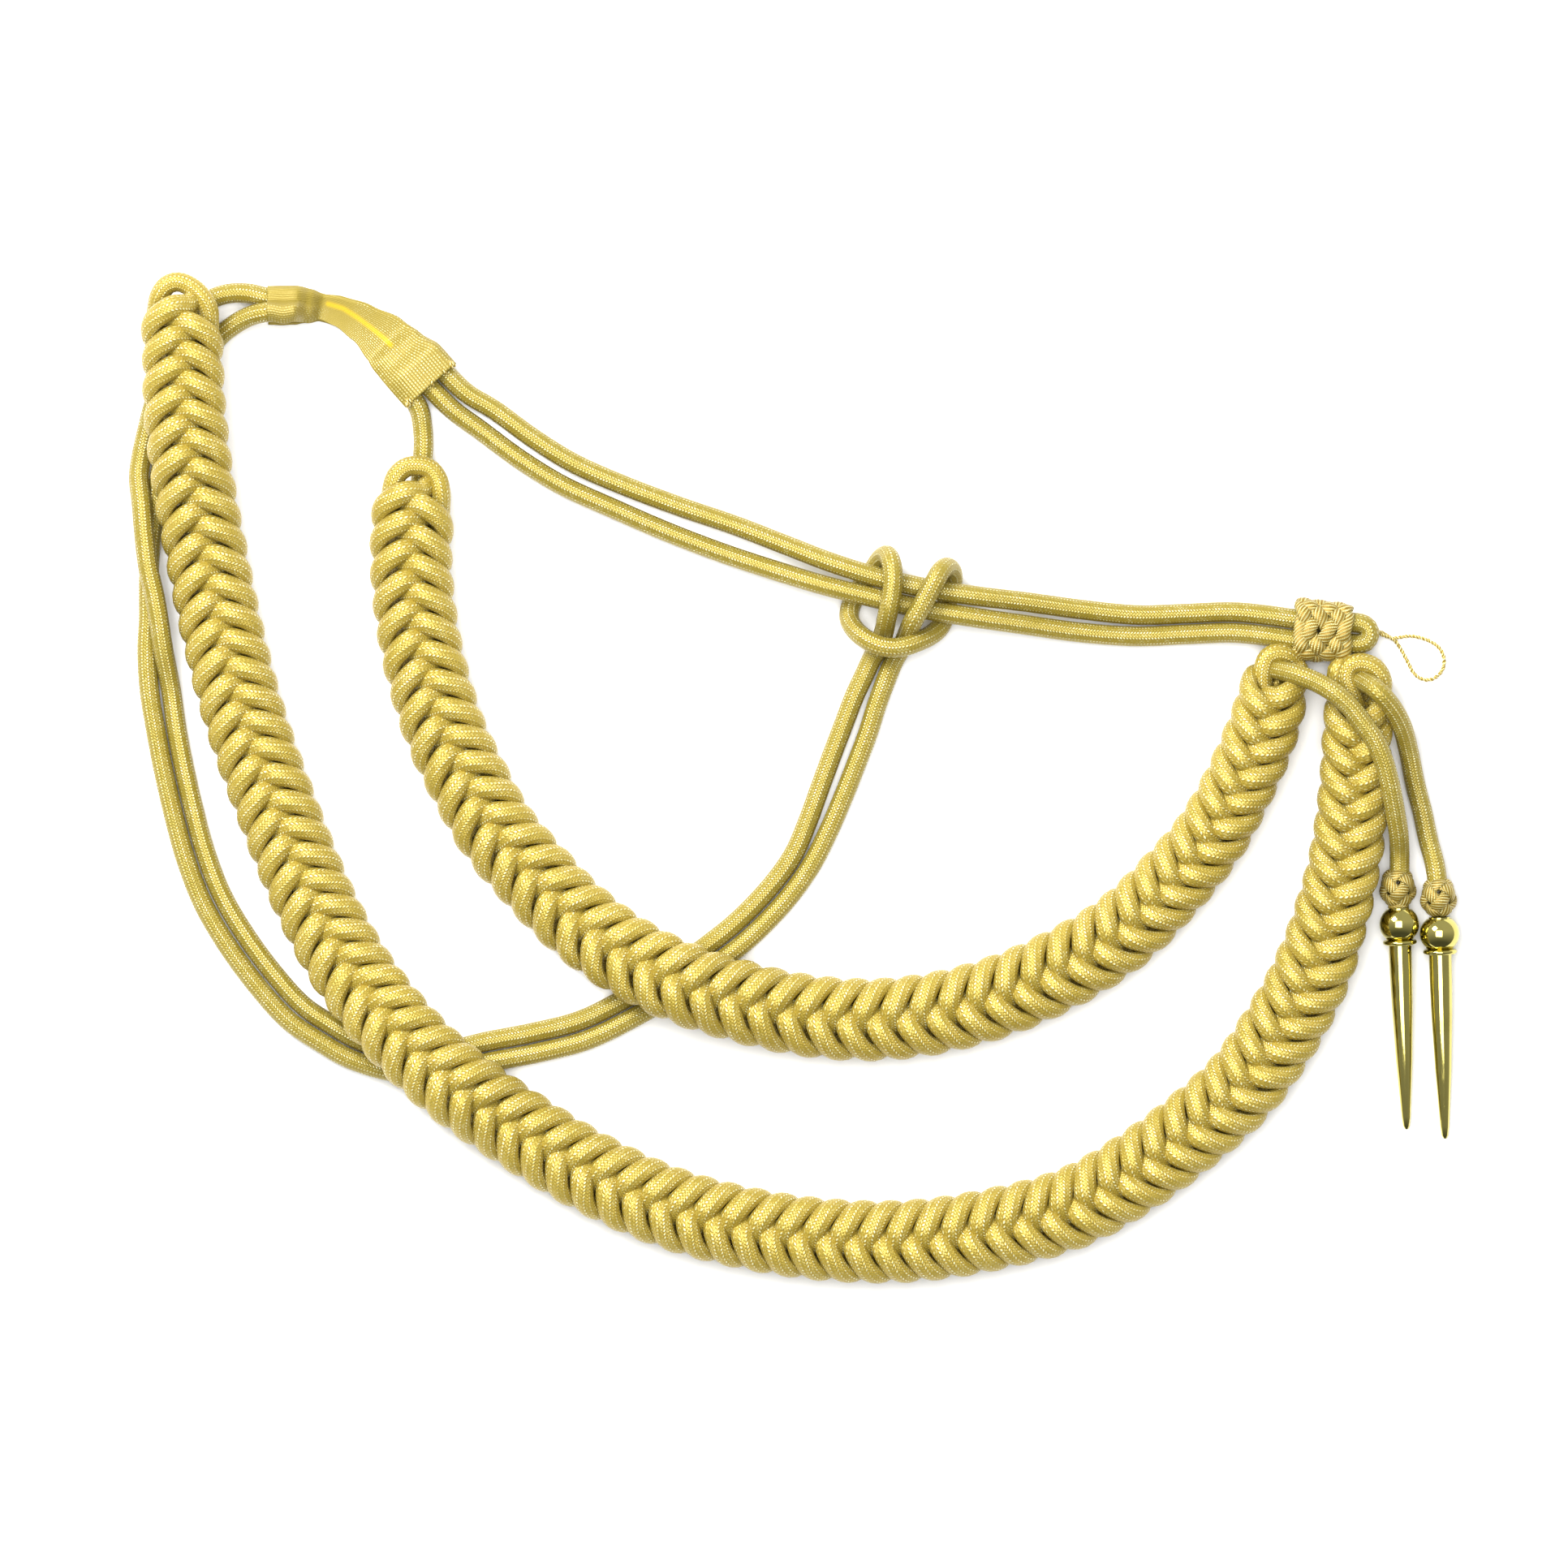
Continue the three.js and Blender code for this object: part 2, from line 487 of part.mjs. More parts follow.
// A needle knot: a ball of rope humps round the cord's end, drawn in to a neck at the needle.
// Its axis is Y, with the cord above and the needle below.
function needleKnotGeometry() {
  const around = 12;
  const rows = table(['along', 'radius', 'humps'], [
    [0.5, 0.62, 0], [0.42, 0.84, 1], [0.22, 1, 1], [0, 1, 1], [-0.2, 0.94, 1],
    [-0.36, 0.72, 1], [-0.42, 0.57, 0], [-0.5, 0.55, 0],
  ]);
  const radius = needleKnotDiameter / 2;
  const neck = needleKnotNeck / 2;
  const rings = rows.map(({ along, radius: share, humps }, row) => (
    Array.from({ length: around }, (unused, index) => {
      const angle = (index / around) * Math.PI * 2;
      const hump = humps * ((index + row) % 2 === 0 ? 0 : 0.16 * ropeDiameter);
      const size = Math.max(share * radius - hump, neck);
      return new THREE.Vector3(size * Math.cos(angle), along * needleKnotHeight, size * Math.sin(angle));
    })));
  return loftGeometry(rings, roundOutline(around));
}

// A needle turned from solid metal: flange, ball, collar and long tapered shank.
// Its axis is Y, with the middle of the ball at the origin and the tip below.
function needleGeometry() {
  const ballRadius = needleBallDiameter / 2;
  const ballHalf = needleBallHeight / 2;
  const collarTop = -ballHalf;
  const collarBottom = collarTop - needleCollarThickness;
  const tip = collarBottom - needleShankLength;
  const collarRadius = needleCollarDiameter / 2;
  const flangeRadius = needleFlangeDiameter / 2;
  const shankRadius = needleShankDiameter / 2;
  const tipRadius = needleTipDiameter / 2;
  const profile = [[0, tip], [0.7 * tipRadius, tip], [tipRadius, tip + 0.3 * tipRadius]];
  const taper = table(['along', 'share'], [[0.33, 0.2], [0.63, 0.5], [0.93, 0.93], [1, 1]]);
  for (const { along, share } of taper) {
    profile.push([
      THREE.MathUtils.lerp(tipRadius, shankRadius, share),
      THREE.MathUtils.lerp(tip, collarBottom, along),
    ]);
  }
  const rim = 0.25 * needleCollarThickness;
  profile.push([collarRadius - rim, collarBottom], [collarRadius, collarBottom + rim]);
  profile.push([collarRadius, collarTop - rim], [collarRadius - rim, collarTop]);
  for (const share of [-0.86, -0.45, 0, 0.45, 0.86]) {
    const height = share * ballHalf;
    profile.push([Math.sqrt(ballRadius ** 2 - height ** 2), height]);
  }
  profile.push([flangeRadius, ballHalf], [flangeRadius, ballHalf + needleFlangeThickness]);
  profile.push([0, ballHalf + needleFlangeThickness]);
  return new THREE.LatheGeometry(profile.map(([x, y]) => new THREE.Vector2(x, y)), 16);
}

// A needle lies on its ball and its tip, its knot on the table above it.
const needles = [
  { side: 'left', x: 331, y: -192.6, tipX: 333.6, tipY: -258.9, cord: leftNeedleCordRoute },
  { side: 'right', x: 343.9, y: -195.6, tipX: 345.9, tipY: -261.5, cord: rightNeedleCordRoute },
];

const aiguillette = new THREE.Group();

const gold = { color: 0xd9be5a, roughness: 0.45, metalness: 0.35 };
function addPiece(name, geometry, finish = gold) {
  const mesh = new THREE.Mesh(geometry, new THREE.MeshStandardMaterial(finish));
  mesh.name = name;
  aiguillette.add(mesh);
  return mesh;
}

addPiece('outer_plait', plaitWithLoops(outerPlaitRoute, outerPlaitRing, outerPlaitLastLoop));
addPiece('inner_plait', plaitWithLoops(innerPlaitRoute, innerPlaitRing, innerPlaitLastLoop));
addPiece('shoulder_tape', tapeGeometry(), { color: 0xe0c35c, roughness: 0.6, metalness: 0.2 });
addPiece('front_cord', frontCordGeometry());
addPiece('arm_cord_first_strand', armStrandGeometry(armFirstStart, 1, 'firstLevel'));
addPiece('arm_cord_second_strand', armStrandGeometry(armSecondStart, -1, 'secondLevel'));
addPiece('arm_cord_hitch', cordGeometry(hitchRoute));
addPiece('hanger_cord', cordGeometry(hangerRoute));

const buttonLoopPoints = buttonLoopRoute.map(({ x, y, height }) => new THREE.Vector3(x, y, height));
addPiece('button_loop', tubeGeometry(buttonLoopPoints, buttonLoopDiameter, cordSides));

const slideKnot = addPiece('slide_knot', slideKnotGeometry());
const knotRow = frontPair[frontPair.length - 2];
slideKnot.position.copy(levelPoint(knotRow));
const knotAcross = leftOf(frontPair, frontPair.length - 2);
slideKnot.rotation.z = Math.atan2(-knotAcross.x, knotAcross.y);

for (const { side, x, y, tipX, tipY, cord } of needles) {
  const ballHeight = needleBallDiameter / 2;
  const ball = new THREE.Vector3(x, y, ballHeight);
  const tip = new THREE.Vector3(tipX, tipY, needleTipDiameter / 2);
  const axis = ball.clone().sub(tip).normalize();
  const down = new THREE.Quaternion().setFromUnitVectors(new THREE.Vector3(0, 1, 0), axis);
  const needle = addPiece(`needle_${side}`, needleGeometry(), {
    color: 0xe6c24a, roughness: 0.12, metalness: 1,
  });
  needle.position.copy(ball);
  needle.quaternion.copy(down);

  const knot = addPiece(`needle_knot_${side}`, needleKnotGeometry());
  const flangeTop = needleBallHeight / 2 + needleFlangeThickness;
  const level = new THREE.Vector3(axis.x, axis.y, 0).normalize();
  knot.quaternion.setFromUnitVectors(new THREE.Vector3(0, 1, 0), level);
  const knotOffset = flangeTop + 2 * gap + needleKnotHeight / 2;
  knot.position.copy(ball).addScaledVector(level, knotOffset).setZ(needleKnotDiameter / 2);

  addPiece(`needle_cord_${side}`, cordGeometry(cord));
}

export default aiguillette;
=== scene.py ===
import math

import bpy
import numpy as np
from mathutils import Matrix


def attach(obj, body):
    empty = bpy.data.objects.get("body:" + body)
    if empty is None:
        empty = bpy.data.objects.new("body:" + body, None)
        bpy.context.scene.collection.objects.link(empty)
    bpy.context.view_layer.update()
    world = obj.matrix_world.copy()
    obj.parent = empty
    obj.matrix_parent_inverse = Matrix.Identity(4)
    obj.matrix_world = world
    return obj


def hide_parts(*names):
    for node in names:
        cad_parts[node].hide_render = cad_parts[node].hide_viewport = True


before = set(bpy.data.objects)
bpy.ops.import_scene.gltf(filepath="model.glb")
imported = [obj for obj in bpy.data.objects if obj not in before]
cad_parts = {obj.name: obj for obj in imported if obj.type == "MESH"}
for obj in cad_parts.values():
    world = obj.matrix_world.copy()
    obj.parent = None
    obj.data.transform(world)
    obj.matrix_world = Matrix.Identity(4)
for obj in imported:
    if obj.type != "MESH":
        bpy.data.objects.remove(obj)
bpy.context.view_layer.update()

mm = 0.001

# camera and light: the layout seen from straight above, on a pale floor

studio = {
    "frameWidth": 502.3 * mm,                    # what the picture takes in
    "frameCentre": (134.2 * mm, -147.7 * mm),
    "cameraHeight": 4.0,
    "sensorWidth": 36.0,
    "floorSize": 6,
    "floorDrop": 0.2 * mm,
    "floorColour": (0.93, 0.93, 0.93),
    "floorRoughness": 0.9,
    "floorShine": 0.1,
    "skyColour": (1.0, 1.0, 1.0),
    "shadeColour": (0.16, 0.17, 0.18),           # the dark side of the room, seen in the metal
    "shadeFrom": -0.75,                          # where the dark side begins and ends, along y
    "shadeTo": 0.25,
    "worldStrength": 0.75,
    # place from the middle of the picture, size, energy
    "lights": {"overhead": ((0, 0, 1.6), 1.1, 30.0), "key": ((-0.9, 1.1, 1.5), 0.8, 62.0)},
}


def addSoftLight(name, offset, size, energy):
    # the light looks at the middle of the picture
    x, y, z = offset
    rotation = (math.acos(z / math.hypot(x, y, z)), 0, math.atan2(-y, -x) - math.pi / 2) if x else (0, 0, 0)
    location = (studio["frameCentre"][0] + x, studio["frameCentre"][1] + y, z)
    bpy.ops.object.light_add(type="AREA", location=location, rotation=rotation)
    light = bpy.context.object
    light.name = name
    light.data.size = size
    light.data.energy = energy


def setUpStudio():
    x, y = studio["frameCentre"]
    bpy.ops.object.camera_add(location=(x, y, studio["cameraHeight"]), rotation=(0, 0, 0))
    camera = bpy.context.object
    camera.data.sensor_width = studio["sensorWidth"]
    camera.data.lens = studio["sensorWidth"] * studio["cameraHeight"] / studio["frameWidth"]
    camera.data.clip_end = 5 * studio["cameraHeight"]
    bpy.context.scene.camera = camera
    bpy.context.scene.view_settings.view_transform = "Standard"
    bpy.ops.object.select_all(action="DESELECT")
    bpy.ops.mesh.primitive_plane_add(size=studio["floorSize"], location=(x, y, -studio["floorDrop"]))
    floor = bpy.context.object
    floor.name = "studio_floor"
    paint = bpy.data.materials.new("paleFloor")
    paint.use_nodes = True
    shader = paint.node_tree.nodes["Principled BSDF"]
    shader.inputs["Base Color"].default_value = (*studio["floorColour"], 1)
    shader.inputs["Roughness"].default_value = studio["floorRoughness"]
    shader.inputs["Specular IOR Level"].default_value = studio["floorShine"]
    floor.data.materials.append(paint)
    for name, facts in studio["lights"].items():
        addSoftLight(name, *facts)
    world = bpy.data.worlds.new("studioAir")
    world.use_nodes = True
    tree = world.node_tree
    air = tree.nodes["Background"]
    direction = tree.nodes.new("ShaderNodeTexCoord")
    split = tree.nodes.new("ShaderNodeSeparateXYZ")
    blend = tree.nodes.new("ShaderNodeMapRange")
    tint = tree.nodes.new("ShaderNodeMix")
    tint.data_type = "RGBA"
    tree.links.new(direction.outputs["Generated"], split.inputs[0])
    tree.links.new(split.outputs["Y"], blend.inputs["Value"])
    blend.inputs["From Min"].default_value = studio["shadeFrom"]
    blend.inputs["From Max"].default_value = studio["shadeTo"]
    tree.links.new(blend.outputs[0], tint.inputs[0])
    tint.inputs[6].default_value = (*studio["shadeColour"], 1)
    tint.inputs[7].default_value = (*studio["skyColour"], 1)
    tree.links.new(tint.outputs[2], air.inputs["Color"])
    air.inputs["Strength"].default_value = studio["worldStrength"]
    bpy.context.scene.world = world


setUpStudio()
print("studio ready")

# routes: every list was chosen along the cord, in millimetres

cord = {
    "diameter": 6.4,
    "gap": 0.3,
    "sides": 16,
    "ringStep": 1.3,
}
cordStep = cord["diameter"] + cord["gap"]
tapeWall = 1.2
up = np.array((0, 0, 1.0))
tapeFloor = (tapeWall + cord["gap"]) / cordStep
stackedLevel = tapeFloor + 0.73
knotLevel = (2.9 + cord["gap"]) / cordStep     # the front cord lies on one rope of its slide knot
plaitHalfHeight = 1.4 * cord["diameter"]
overPlait = 2 * plaitHalfHeight / cordStep + 0.08
overLoop = (plaitHalfHeight + cord["gap"]) / cordStep + 0.42


def usually(rows, *usual):
    # what a row leaves out is as usual
    return [row + usual[len(row) - 2:] for row in rows]


# level: cord steps above the floor
# x, y, level, width
outerPlaitRoute = usually([
    (-58, 1.5, 1.05, 0.98), (-57.5, -13.5, 1.05, 0.98), (-57, -28, 1.05), (-55.5, -42.5, 0.88),
    (-53.5, -57.5, 0.4), (-50.5, -73.5, 0.05), (-47.5, -89), (-44, -104.5), (-40, -120), (-35, -136),
    (-29, -152.5), (-22.5, -169.5), (-14.5, -188), (-4, -207, 0.25), (10.5, -225.5, 1.08),
    (27.5, -242, 1.08), (49, -257.5, 0.15), (72, -271.5), (97.5, -283), (124.5, -290), (151, -293.5),
    (177, -293.5), (203, -289.5), (226.5, -283), (245.5, -272.5), (264.5, -258.5), (280.5, -244),
    (292.5, -227), (302.3, -209, 0, 0.97), (308.8, -190.5, 0, 0.91), (313.3, -172.5, 0, 0.86),
    (316, -154, 0, 0.84), (317.3, -135.5, 0, 0.82), (317.5, -120.5, 0, 0.75), (318, -113, 0, 0.7),
], 0, 1)
innerPlaitRoute = usually([
    (16, -53.5), (15.5, -63), (15, -76), (16, -90), (18, -103), (21.5, -117.5), (26.5, -132.5),
    (34, -148), (42.5, -163), (54, -176.5), (66.5, -189.5), (81.5, -201, 0.45), (100, -210.5, 1.1),
    (120, -217, 0.5), (140.5, -221.5), (161, -223), (182, -221), (203, -215.5), (223.5, -206.5),
    (242, -195, 0, 0.97), (257, -180.5, 0, 0.93), (270, -165, 0, 0.89), (278, -151, 0, 0.86),
    (284.5, -137, 0, 0.86), (289, -124.5, 0, 0.84), (291, -114.5, 0, 0.75),
], 0, 1)
# x, y, apart (in diameters), level
frontPair = usually([
    (19.4, -14, 0, tapeFloor), (23.5, -18.6, 0, tapeFloor), (30.7, -25.5, 0.05, 0.12), (39, -31, 0.18),
    (52, -40.5, 0.2), (65, -48.5, 0.2), (80.5, -55.5, 0.22), (99, -63, 0.36), (117, -69.5, 0.46, 0.1),
    (135, -76, 0.31, 0.5), (148, -80.5, 0.15, 0.94), (164, -85, 0, 1.03), (179.5, -88.5, 0, 1.03),
    (195, -91, 0.03, 0.98), (210.5, -93, 0.09, 0.6), (229, -95.5, 0.1, 0.15), (247, -97, 0.03),
    (262.5, -96.5), (278, -96, 0, 0.2), (290, -97.2, 0, knotLevel - 0.05), (297, -98.2, 0, knotLevel),
    (306.5, -98.8, 0, knotLevel), (315.5, -99.4, 0, knotLevel),
], 0, 0)
frontBightLength = 6
# x, y, level
armFirstStart = usually([
    (-22.5, 8, tapeFloor), (-31, 8, tapeFloor), (-37, 9.3, 0.15), (-42.5, 9.4, 0.05), (-48, 8),
    (-53, 4.5), (-57, 0), (-61, -8), (-64.5, -17), (-67.5, -26), (-69.8, -35), (-71.5, -43, 0.1),
], 0)
armSecondStart = usually([
    (-22.5, 3.1, stackedLevel), (-31, 3.1, stackedLevel), (-37, 1.7, 0.6), (-42.5, -1.3, 0.25),
    (-47, -5), (-51.5, -12), (-56, -20.5), (-60, -29.5), (-63, -39.5),
], 0)
# x, y, side, apart, first strand's level, second strand's level
armPair = usually([
    (-69, -49.5, -0.97, 0, 0.32), (-69, -58, -0.66, 0, 0.8), (-69.3, -67, -0.33, 0, 0.97),
    (-69, -78.5, 0, 0, 1.02), (-68.2, -86.5, 0.3, 0, 0.98), (-67.5, -94, 0.5, 0, 0.9),
    (-67, -104.5, 0.8, 0, 0.64), (-65.5, -117.5, 1, 0.03), (-63.5, -130.5), (-61, -143.5),
    (-58, -156.5), (-54.5, -169.5), (-49, -184), (-41.5, -197), (-32, -210), (-22, -221),
    (-12.5, -227.5), (-2.5, -233), (13, -237), (28.5, -236), (39, -233.5), (54.5, -230.5), (70, -226.5),
    (85.5, -219), (99, -211), (113.5, -200.5), (122, -193.5), (132.5, -182.5), (140, -172),
    (145, -161.5, 1, 0.1), (149, -151.5, 1, 0.2), (153, -141, 1, 0.25), (157, -130.5, 1, 0.25),
    (160.5, -120.5, 1, 0.15),
], 1, 0, 0, 0)
# x, y, level
hitchRoute = usually([
    (159.8, -113), (162, -108.2, 0.02), (164.6, -103.7, 0.38), (166.2, -98.8, 0.72),
    (166.9, -95.2, 1.5), (167.7, -91.5, 1.98), (168.7, -86.3, 2.06), (169, -81.6, 2.03),
    (168.5, -77.2, 1.77), (167.2, -74.6, 1.1), (165.1, -75.6, 0.4), (163, -78.8), (160.4, -82.4),
    (157.6, -86.8), (155.5, -91), (155.1, -94.8, 0.25), (156.8, -98.3, 0.75), (160.2, -101.3, 1.25),
    (164.6, -103.5, 1.5), (169, -104.2, 1.55), (172.8, -103.7, 1.5), (177, -102.2, 1.25),
    (181, -100.2, 0.75), (184.1, -97.5, 0.3), (185.4, -94.1), (186.2, -90.2), (187.2, -86.8),
    (188.2, -82.6, 0.1), (187.9, -79.6, 0.55), (186.2, -78.4, 1.15), (184.2, -79.8, 1.75),
    (182.4, -82.9, 2.03), (180.2, -87.1, 2.06), (177.6, -91.8, 2.03), (175.4, -95.6, 1.82),
    (173.7, -99.6, 0.72), (171.9, -103.9, 0.38), (169.4, -108.2, 0.02), (167.3, -113.2),
], 0)
hangerRoute = usually([
    (11.8, -20.4, tapeFloor), (15.9, -25, tapeFloor), (17.7, -28.6, 0.12), (18.5, -33.5), (18.8, -38),
    (18.6, -43), (18.2, -48), (17.6, -54), (17, -59),
], 0)
leftNeedleCordRoute = [
    (290.2, -110.8, 0.5), (292.4, -111.4, 1.15), (298.5, -113, overLoop + 0.3),
    (304.5, -115.5, overPlait - 0.35), (310, -119, overPlait), (314.5, -123, overPlait),
    (318, -127.5, overPlait), (322, -133, overPlait), (325, -139.5, overPlait - 0.1),
    (327.3, -147.5, overPlait - 0.35), (329.2, -156.5, overPlait - 0.9),
    (330.5, -163.5, overPlait - 1.5), (331, -169, 0.65), (331.1, -173.8, 0.46), (331.1, -178.6, 0.44),
]
rightNeedleCordRoute = usually([
    (317, -113.6, 0.55), (319.4, -115, 1.2), (323.5, -118, overLoop + 0.45),
    (327.9, -122.8, overLoop + 0.12), (331.5, -129, 1.25), (334.2, -138, 0.35), (336.2, -147.5),
    (338.5, -156.5), (340.5, -166, 0.1), (342.2, -172.5, 0.28), (343, -177.3, 0.4),
    (343.3, -181.8, 0.4),
], 0)
# x, y, height
buttonLoopRoute = usually([
    (323.4, -99, 4.6), (326, -100.1, 3.3), (329.3, -101.4, 2), (331.6, -104.3, 0.9), (333.8, -108.3),
    (336, -112.3), (338.7, -114.1), (341.8, -114.1), (344.9, -111.4), (345.6, -107.9), (344.2, -104.3),
    (340.5, -101.7), (335.1, -100.3), (332, -100.6), (329.1, -101, 0.7), (326.2, -99.5, 2.1),
    (323.4, -98.4, 3.6),
], 0.65)


def heightAt(level):
    return cord["diameter"] / 2 + level * cordStep


def levelled(rows):
    return np.array([(x, y, heightAt(level)) for x, y, level in rows])


def leftOf(points, index):
    before, after = points[max(index - 1, 0)], points[min(index + 1, len(points) - 1)]
    left = np.array((before[1] - after[1], after[0] - before[0], 0.0))
    return left / np.linalg.norm(left)


def strandOf(rows, sign, levelColumn, apartColumn, sideColumn=None):
    strand = []
    for index, row in enumerate(rows):
        side = row[sideColumn] if sideColumn else 1
        offset = sign * side * (cordStep + row[apartColumn] * cord["diameter"]) / 2
        middle = np.array((row[0], row[1], heightAt(row[levelColumn])))
        strand.append(middle + leftOf(rows, index) * offset)
    return np.array(strand)


def frontCordPoints():
    left, right = strandOf(frontPair, 1, 3, 2), strandOf(frontPair, -1, 3, 2)
    across = leftOf(frontPair, len(frontPair) - 1)
    along = np.array((across[1], -across[0], 0.0))
    radius = cordStep / 2
    centre = (left[-1] + right[-1]) / 2 + along * (frontBightLength - radius)
    turn = [centre + along * radius * math.cos(a) + across * radius * math.sin(a)
            for a in np.radians((90, 45, 0, -45, -90))]
    return np.concatenate((left, turn, right[::-1]))


def armCordPoints():
    first = strandOf(armPair, 1, 4, 3, 2)
    second = strandOf(armPair, -1, 5, 3, 2)
    return np.concatenate((levelled(armFirstStart), first, levelled(hitchRoute), second[::-1],
                           levelled(armSecondStart)[::-1]))


def throughPoints(points, step):
    # a centripetal spline, carried straight on past both ends
    points = np.asarray(points, float)
    chain = np.vstack((2 * points[0] - points[1], points, 2 * points[-1] - points[-2]))
    own = np.concatenate(([0.0], np.cumsum(np.linalg.norm(np.diff(chain, axis=0), axis=1) ** 0.5)))
    dense = []
    for index in range(1, len(chain) - 2):
        t = np.linspace(own[index], own[index + 1], 24, endpoint=False)[:, None]
        blend = list(chain[index - 1:index + 3])
        for spans in (((0, 1), (1, 2), (2, 3)), ((0, 2), (1, 3)), ((1, 2),)):
            ends = [(own[index - 1 + first], own[index - 1 + last]) for first, last in spans]
            blend = [((last - t) * blend[number] + (t - first) * blend[number + 1]) / (last - first)
                     for number, (first, last) in enumerate(ends)]
        dense.append(blend[0])
    return evenly(np.vstack(dense + [points[-1:]]), step)


def lengthsAlong(path):
    return np.concatenate(([0.0], np.cumsum(np.linalg.norm(np.diff(path, axis=0), axis=1))))


def read(places, own, rows):
    return np.stack([np.interp(places, own, column) for column in rows.T], 1)


def resampled(path, count):
    travelled = lengthsAlong(path)
    return read(np.linspace(0, travelled[-1], count), travelled, path)


def evenly(path, step):
    return resampled(path, max(int(round(lengthsAlong(path)[-1] / step)), 2) + 1)


def placesOf(points, line):
    travelled = lengthsAlong(line)
    return np.array([travelled[np.argmin(np.linalg.norm(line - point, axis=1))] for point in points])


def leftOfWays(ways):
    return np.stack((-ways[:, 1], ways[:, 0], np.zeros(len(ways))), 1)


def unit(vectors):
    return vectors / np.maximum(np.linalg.norm(vectors, axis=-1, keepdims=True), 1e-9)


def carriedNormals(tangents):
    normal = up
    if abs(normal @ tangents[0]) > 0.9:
        normal = np.array((1.0, 0, 0))
    normals = []
    for tangent in tangents:
        normal = normal - tangent * (normal @ tangent)
        normal /= np.linalg.norm(normal)
        normals.append(normal)
    return np.array(normals)


class Bundle:
    def __init__(self):
        self.vertices, self.faces, self.uvs = [], [], []
        self.count = 0

    def addGrid(self, grid, u, v):
        rings, sides = grid.shape[:2]
        base = self.count
        self.vertices.append(grid.reshape(-1, 3))
        self.count += rings * sides
        for ring in range(rings - 1):
            near, far = base + ring * sides, base + (ring + 1) * sides
            for side in range(sides):
                after = (side + 1) % sides
                self.faces.append([near + side, near + after, far + after, far + side])
                self.uvs += [(u[side], v[ring]), (u[side + 1], v[ring]),
                             (u[side + 1], v[ring + 1]), (u[side], v[ring + 1])]
        return base

    def addCap(self, base, sides, v, turned):
        order = range(sides - 1, -1, -1) if turned else range(sides)
        self.faces.append([base + side for side in order])
        self.uvs += [(side / sides, v) for side in order]

    def addTube(self, path, radius, sides, normals=None, flatten=1.0, widen=1.0, lobes=0,
                lobeDepth=0.0, closed=False):
        # lobes are the strands of a twisted rope: they lean at 45 degrees round the tube
        if closed:
            path, normals = np.vstack((path, path[:1])), np.vstack((normals, normals[:1]))
            tangents = unit(np.vstack((path[1] - path[-2], path[2:] - path[:-2], path[1] - path[-2])))
        else:
            tangents = unit(np.gradient(path, axis=0))
        if normals is None:
            normals = carriedNormals(tangents)
        normals = unit(normals - tangents * (normals * tangents).sum(1, keepdims=True))
        across = np.cross(tangents, normals)
        travelled = lengthsAlong(path)
        girth = 2 * math.pi * radius
        if closed:
            girth = travelled[-1] / round(travelled[-1] / girth)
        angles = np.linspace(0, 2 * math.pi, sides, endpoint=False)
        leaned = angles[None, :] - (2 * math.pi * travelled / girth)[:, None]
        size = radius * (1 + lobeDepth * np.cos(lobes * leaned)) if lobes else radius
        grid = (path[:, None, :]
                + normals[:, None, :] * (np.cos(angles) * size * flatten)[..., None]
                + across[:, None, :] * (np.sin(angles) * size * widen)[..., None])
        v = travelled / girth
        base = self.addGrid(grid, np.arange(sides + 1) / sides, v)
        if not closed:
            self.addCap(base, sides, v[0], True)
            self.addCap(base + (len(path) - 1) * sides, sides, v[-1], False)

    def makePiece(self, name, material):
        mesh = bpy.data.meshes.new(name)
        mesh.from_pydata((np.vstack(self.vertices) * mm).tolist(), [], self.faces)
        uvMap = mesh.uv_layers.new(name="along")
        uvMap.data.foreach_set("uv", np.array(self.uvs, np.float32).ravel())
        mesh.polygons.foreach_set("use_smooth", [True] * len(mesh.polygons))
        mesh.materials.append(material)
        mesh.update()
        piece = bpy.data.objects.new(name, mesh)
        bpy.context.collection.objects.link(piece)
        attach(piece, "root")
        return piece


# materials

